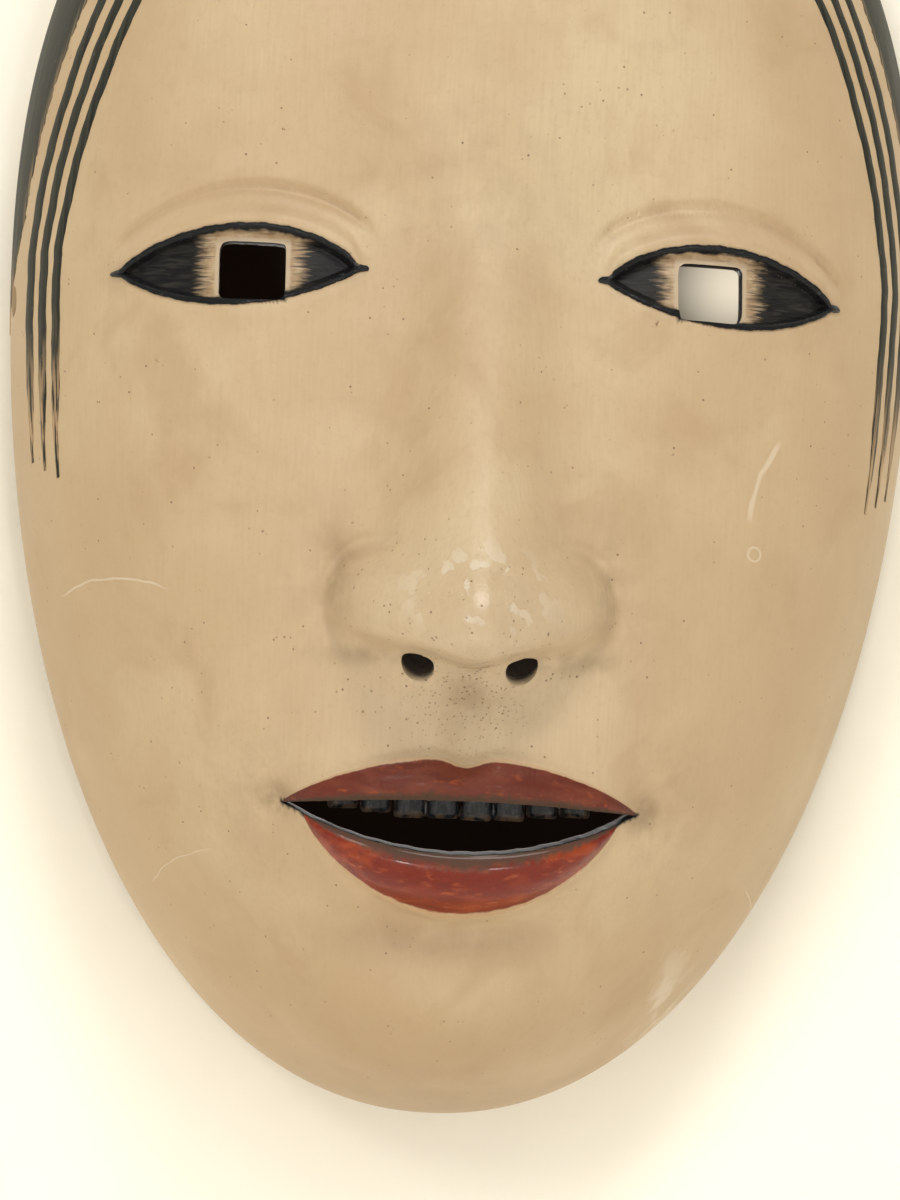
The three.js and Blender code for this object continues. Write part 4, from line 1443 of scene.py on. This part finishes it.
def crease_dirt(x, h):
    """Where the hand's dirt gathers: round the nose wings, the mouth's corners and the lid creases."""
    wings = 0.5 * pair(x, h, 18.0, 80, 1.2, 5.0) + 0.25 * pair(x, h, 21, 78, 5, 8)
    wings = wings + 0.8 * pair(x, h, 12, 69.3, 5, 1.0)
    corners = pair(x, h, 24.6, 49.2, 1.7, 1.5) + 0.4 * pair(x, h, 28, 50, 5, 7)
    philtrum = 0.7 * bump(x, h, 0, 65, 1.6, 3.6)
    lids = 0.5 * pair(x, h, 18.5, 121, 1.6, 1.8) + 0.4 * pair(x, h, 49.5, 119, 2.0, 1.6)
    chin = 0.35 * bump(x, h, 0, 32, 12, 1.6)
    root = 0.3 * bump(x, h, 0, 132, 9, 12)
    return np.clip(wings + corners + philtrum + lids + chin + root, 0, 1)


def opening_walls(obj):
    """1 on the walls of the pupil and mouth openings, which are inked black."""
    x, h, depth = vertex_places(obj)
    slit = np.abs(h - mouth_line(x)) - MOUTH_GAP * taper(x, MOUTH_HALF)
    across = np.abs(x) < MOUTH_HALF + 0.2
    mouth = across & ((slit < 0.16) | (slit < 0.5) & (depth > 0.4))
    pupil = pupil_distance(x, h)
    opened = np.where((pupil < 0.16) | (pupil < 0.3) & (depth > 0.4) | mouth, 1.0, 0.0)
    return np.maximum(opened, 0.93 * (nostril_distance(obj) < 0.25))


def nostril_distance(obj):
    """Every vertex's distance outside the nearer nostril's bore, where that has left the skin."""
    points = coordinates(obj) / MM + (0, 0, CORD_HEIGHT)
    points[:, 0] = np.abs(points[:, 0])
    start, end = np.array(NOSTRIL_FROM), np.array(NOSTRIL_TO)
    axis = (end - start) / np.linalg.norm(end - start)
    along = (points - start) @ axis
    out = np.linalg.norm(points - start - along[:, None] * axis, axis=1)
    x, h, depth = vertex_places(obj)
    return np.where((depth > 0.7) & (along > 0), out - NOSTRIL_RADIUS, 9.0)


def add_coat(cutters):
    front, back = (0, front_relief, COAT_RINGS), (COAT_BACK, front_relief, COAT_BACK_RINGS)
    coat = layer_mesh("gofun_coat_fine", front, back, COAT_SECTORS, FINE_ZONES)
    cut(coat, cutters)
    x, h, depth = vertex_places(coat)
    paint(coat, "crease", crease_dirt(x, h))
    paint(coat, "rim_wear", step(3.2, 0.2, front_height(x, h) - depth))
    # Handling patina and painted shade: the skin is browner towards the rim.
    paint(coat, "patina_and_shade", step(0.60, 1.0, radius(x, h)))
    paint(coat, "inked", opening_walls(coat))
    finish_piece(coat, "gofun_coat", gofun_material(), 65)


def add_shell(cutters):
    front, back = (WOOD_TOP, front_relief, WOOD_RINGS), (WOOD_BACK, gouged_back, BACK_RINGS)
    shell = layer_mesh("cypress_shell_fine", front, back, BACK_SECTORS)
    cut(shell, cutters)
    paint(shell, "inked", opening_walls(shell))
    finish_piece(shell, "cypress_shell", wood_material())


def add_lacquer(cutters):
    front, back = ((depth, gouged_back, BACK_RINGS) for depth in (LACQUER_TOP, LACQUER_BACK))
    film = layer_mesh("back_lacquer_fine", front, back, BACK_SECTORS)
    cut(film, cutters)
    x, h, _ = vertex_places(film)
    marks = gouge_marks(x, h) / GOUGE_DEPTH
    paint(film, "scallop_edge", 1 - step(0.0, 0.28, marks))
    finish_piece(film, "back_lacquer", lacquer_material())
    return film


cutters = [pupil_cutter(-1), pupil_cutter(1), mouth_cutter()]
cutters += [make(side) for make in (nostril_cutter, cord_hole_cutter) for side in (-1, 1)]
add_coat(cutters)
add_shell(cutters)
lacquer = add_lacquer(cutters)
for name, side, cutter in (("eye_ink_left", -1, cutters[0]), ("eye_ink_right", 1, cutters[1])):
    add_eye(name, side, cutter)
add_lip("lip_upper", mouth_top, upper_lip_top, MOUTH_HALF - 0.3,
        (0.130, 0.024, 0.013), (0.195, 0.047, 0.024), 0.40, 0.03)
add_lip("lip_lower", mouth_bottom, lower_lip_bottom, MOUTH_HALF - 3.05,
        (0.185, 0.018, 0.006), (0.33, 0.050, 0.011), 0.17, 0.20)
add_crown()
for order in (1, 2, 3):
    for side in (-1, 1):
        add_strand(side, order)
add_brow("brow_left", -1)
add_brow("brow_right", 1)
add_teeth()
place = back_surface(lacquer)
cloth, thread = cloth_material(), thread_material()
add_pad("forehead_pad", (0, 166), 33.5, 10.6, ((-17, 0), (0, 0), (17, 0)), place, cloth, thread)
for name, x in (("cheek_pad_left", -34), ("cheek_pad_right", 34)):
    add_pad(name, (x, 82), 12.6, 15.6, ((0, 5), (0, -5)), place, cloth, thread)
for cutter in cutters:
    bpy.data.objects.remove(cutter)
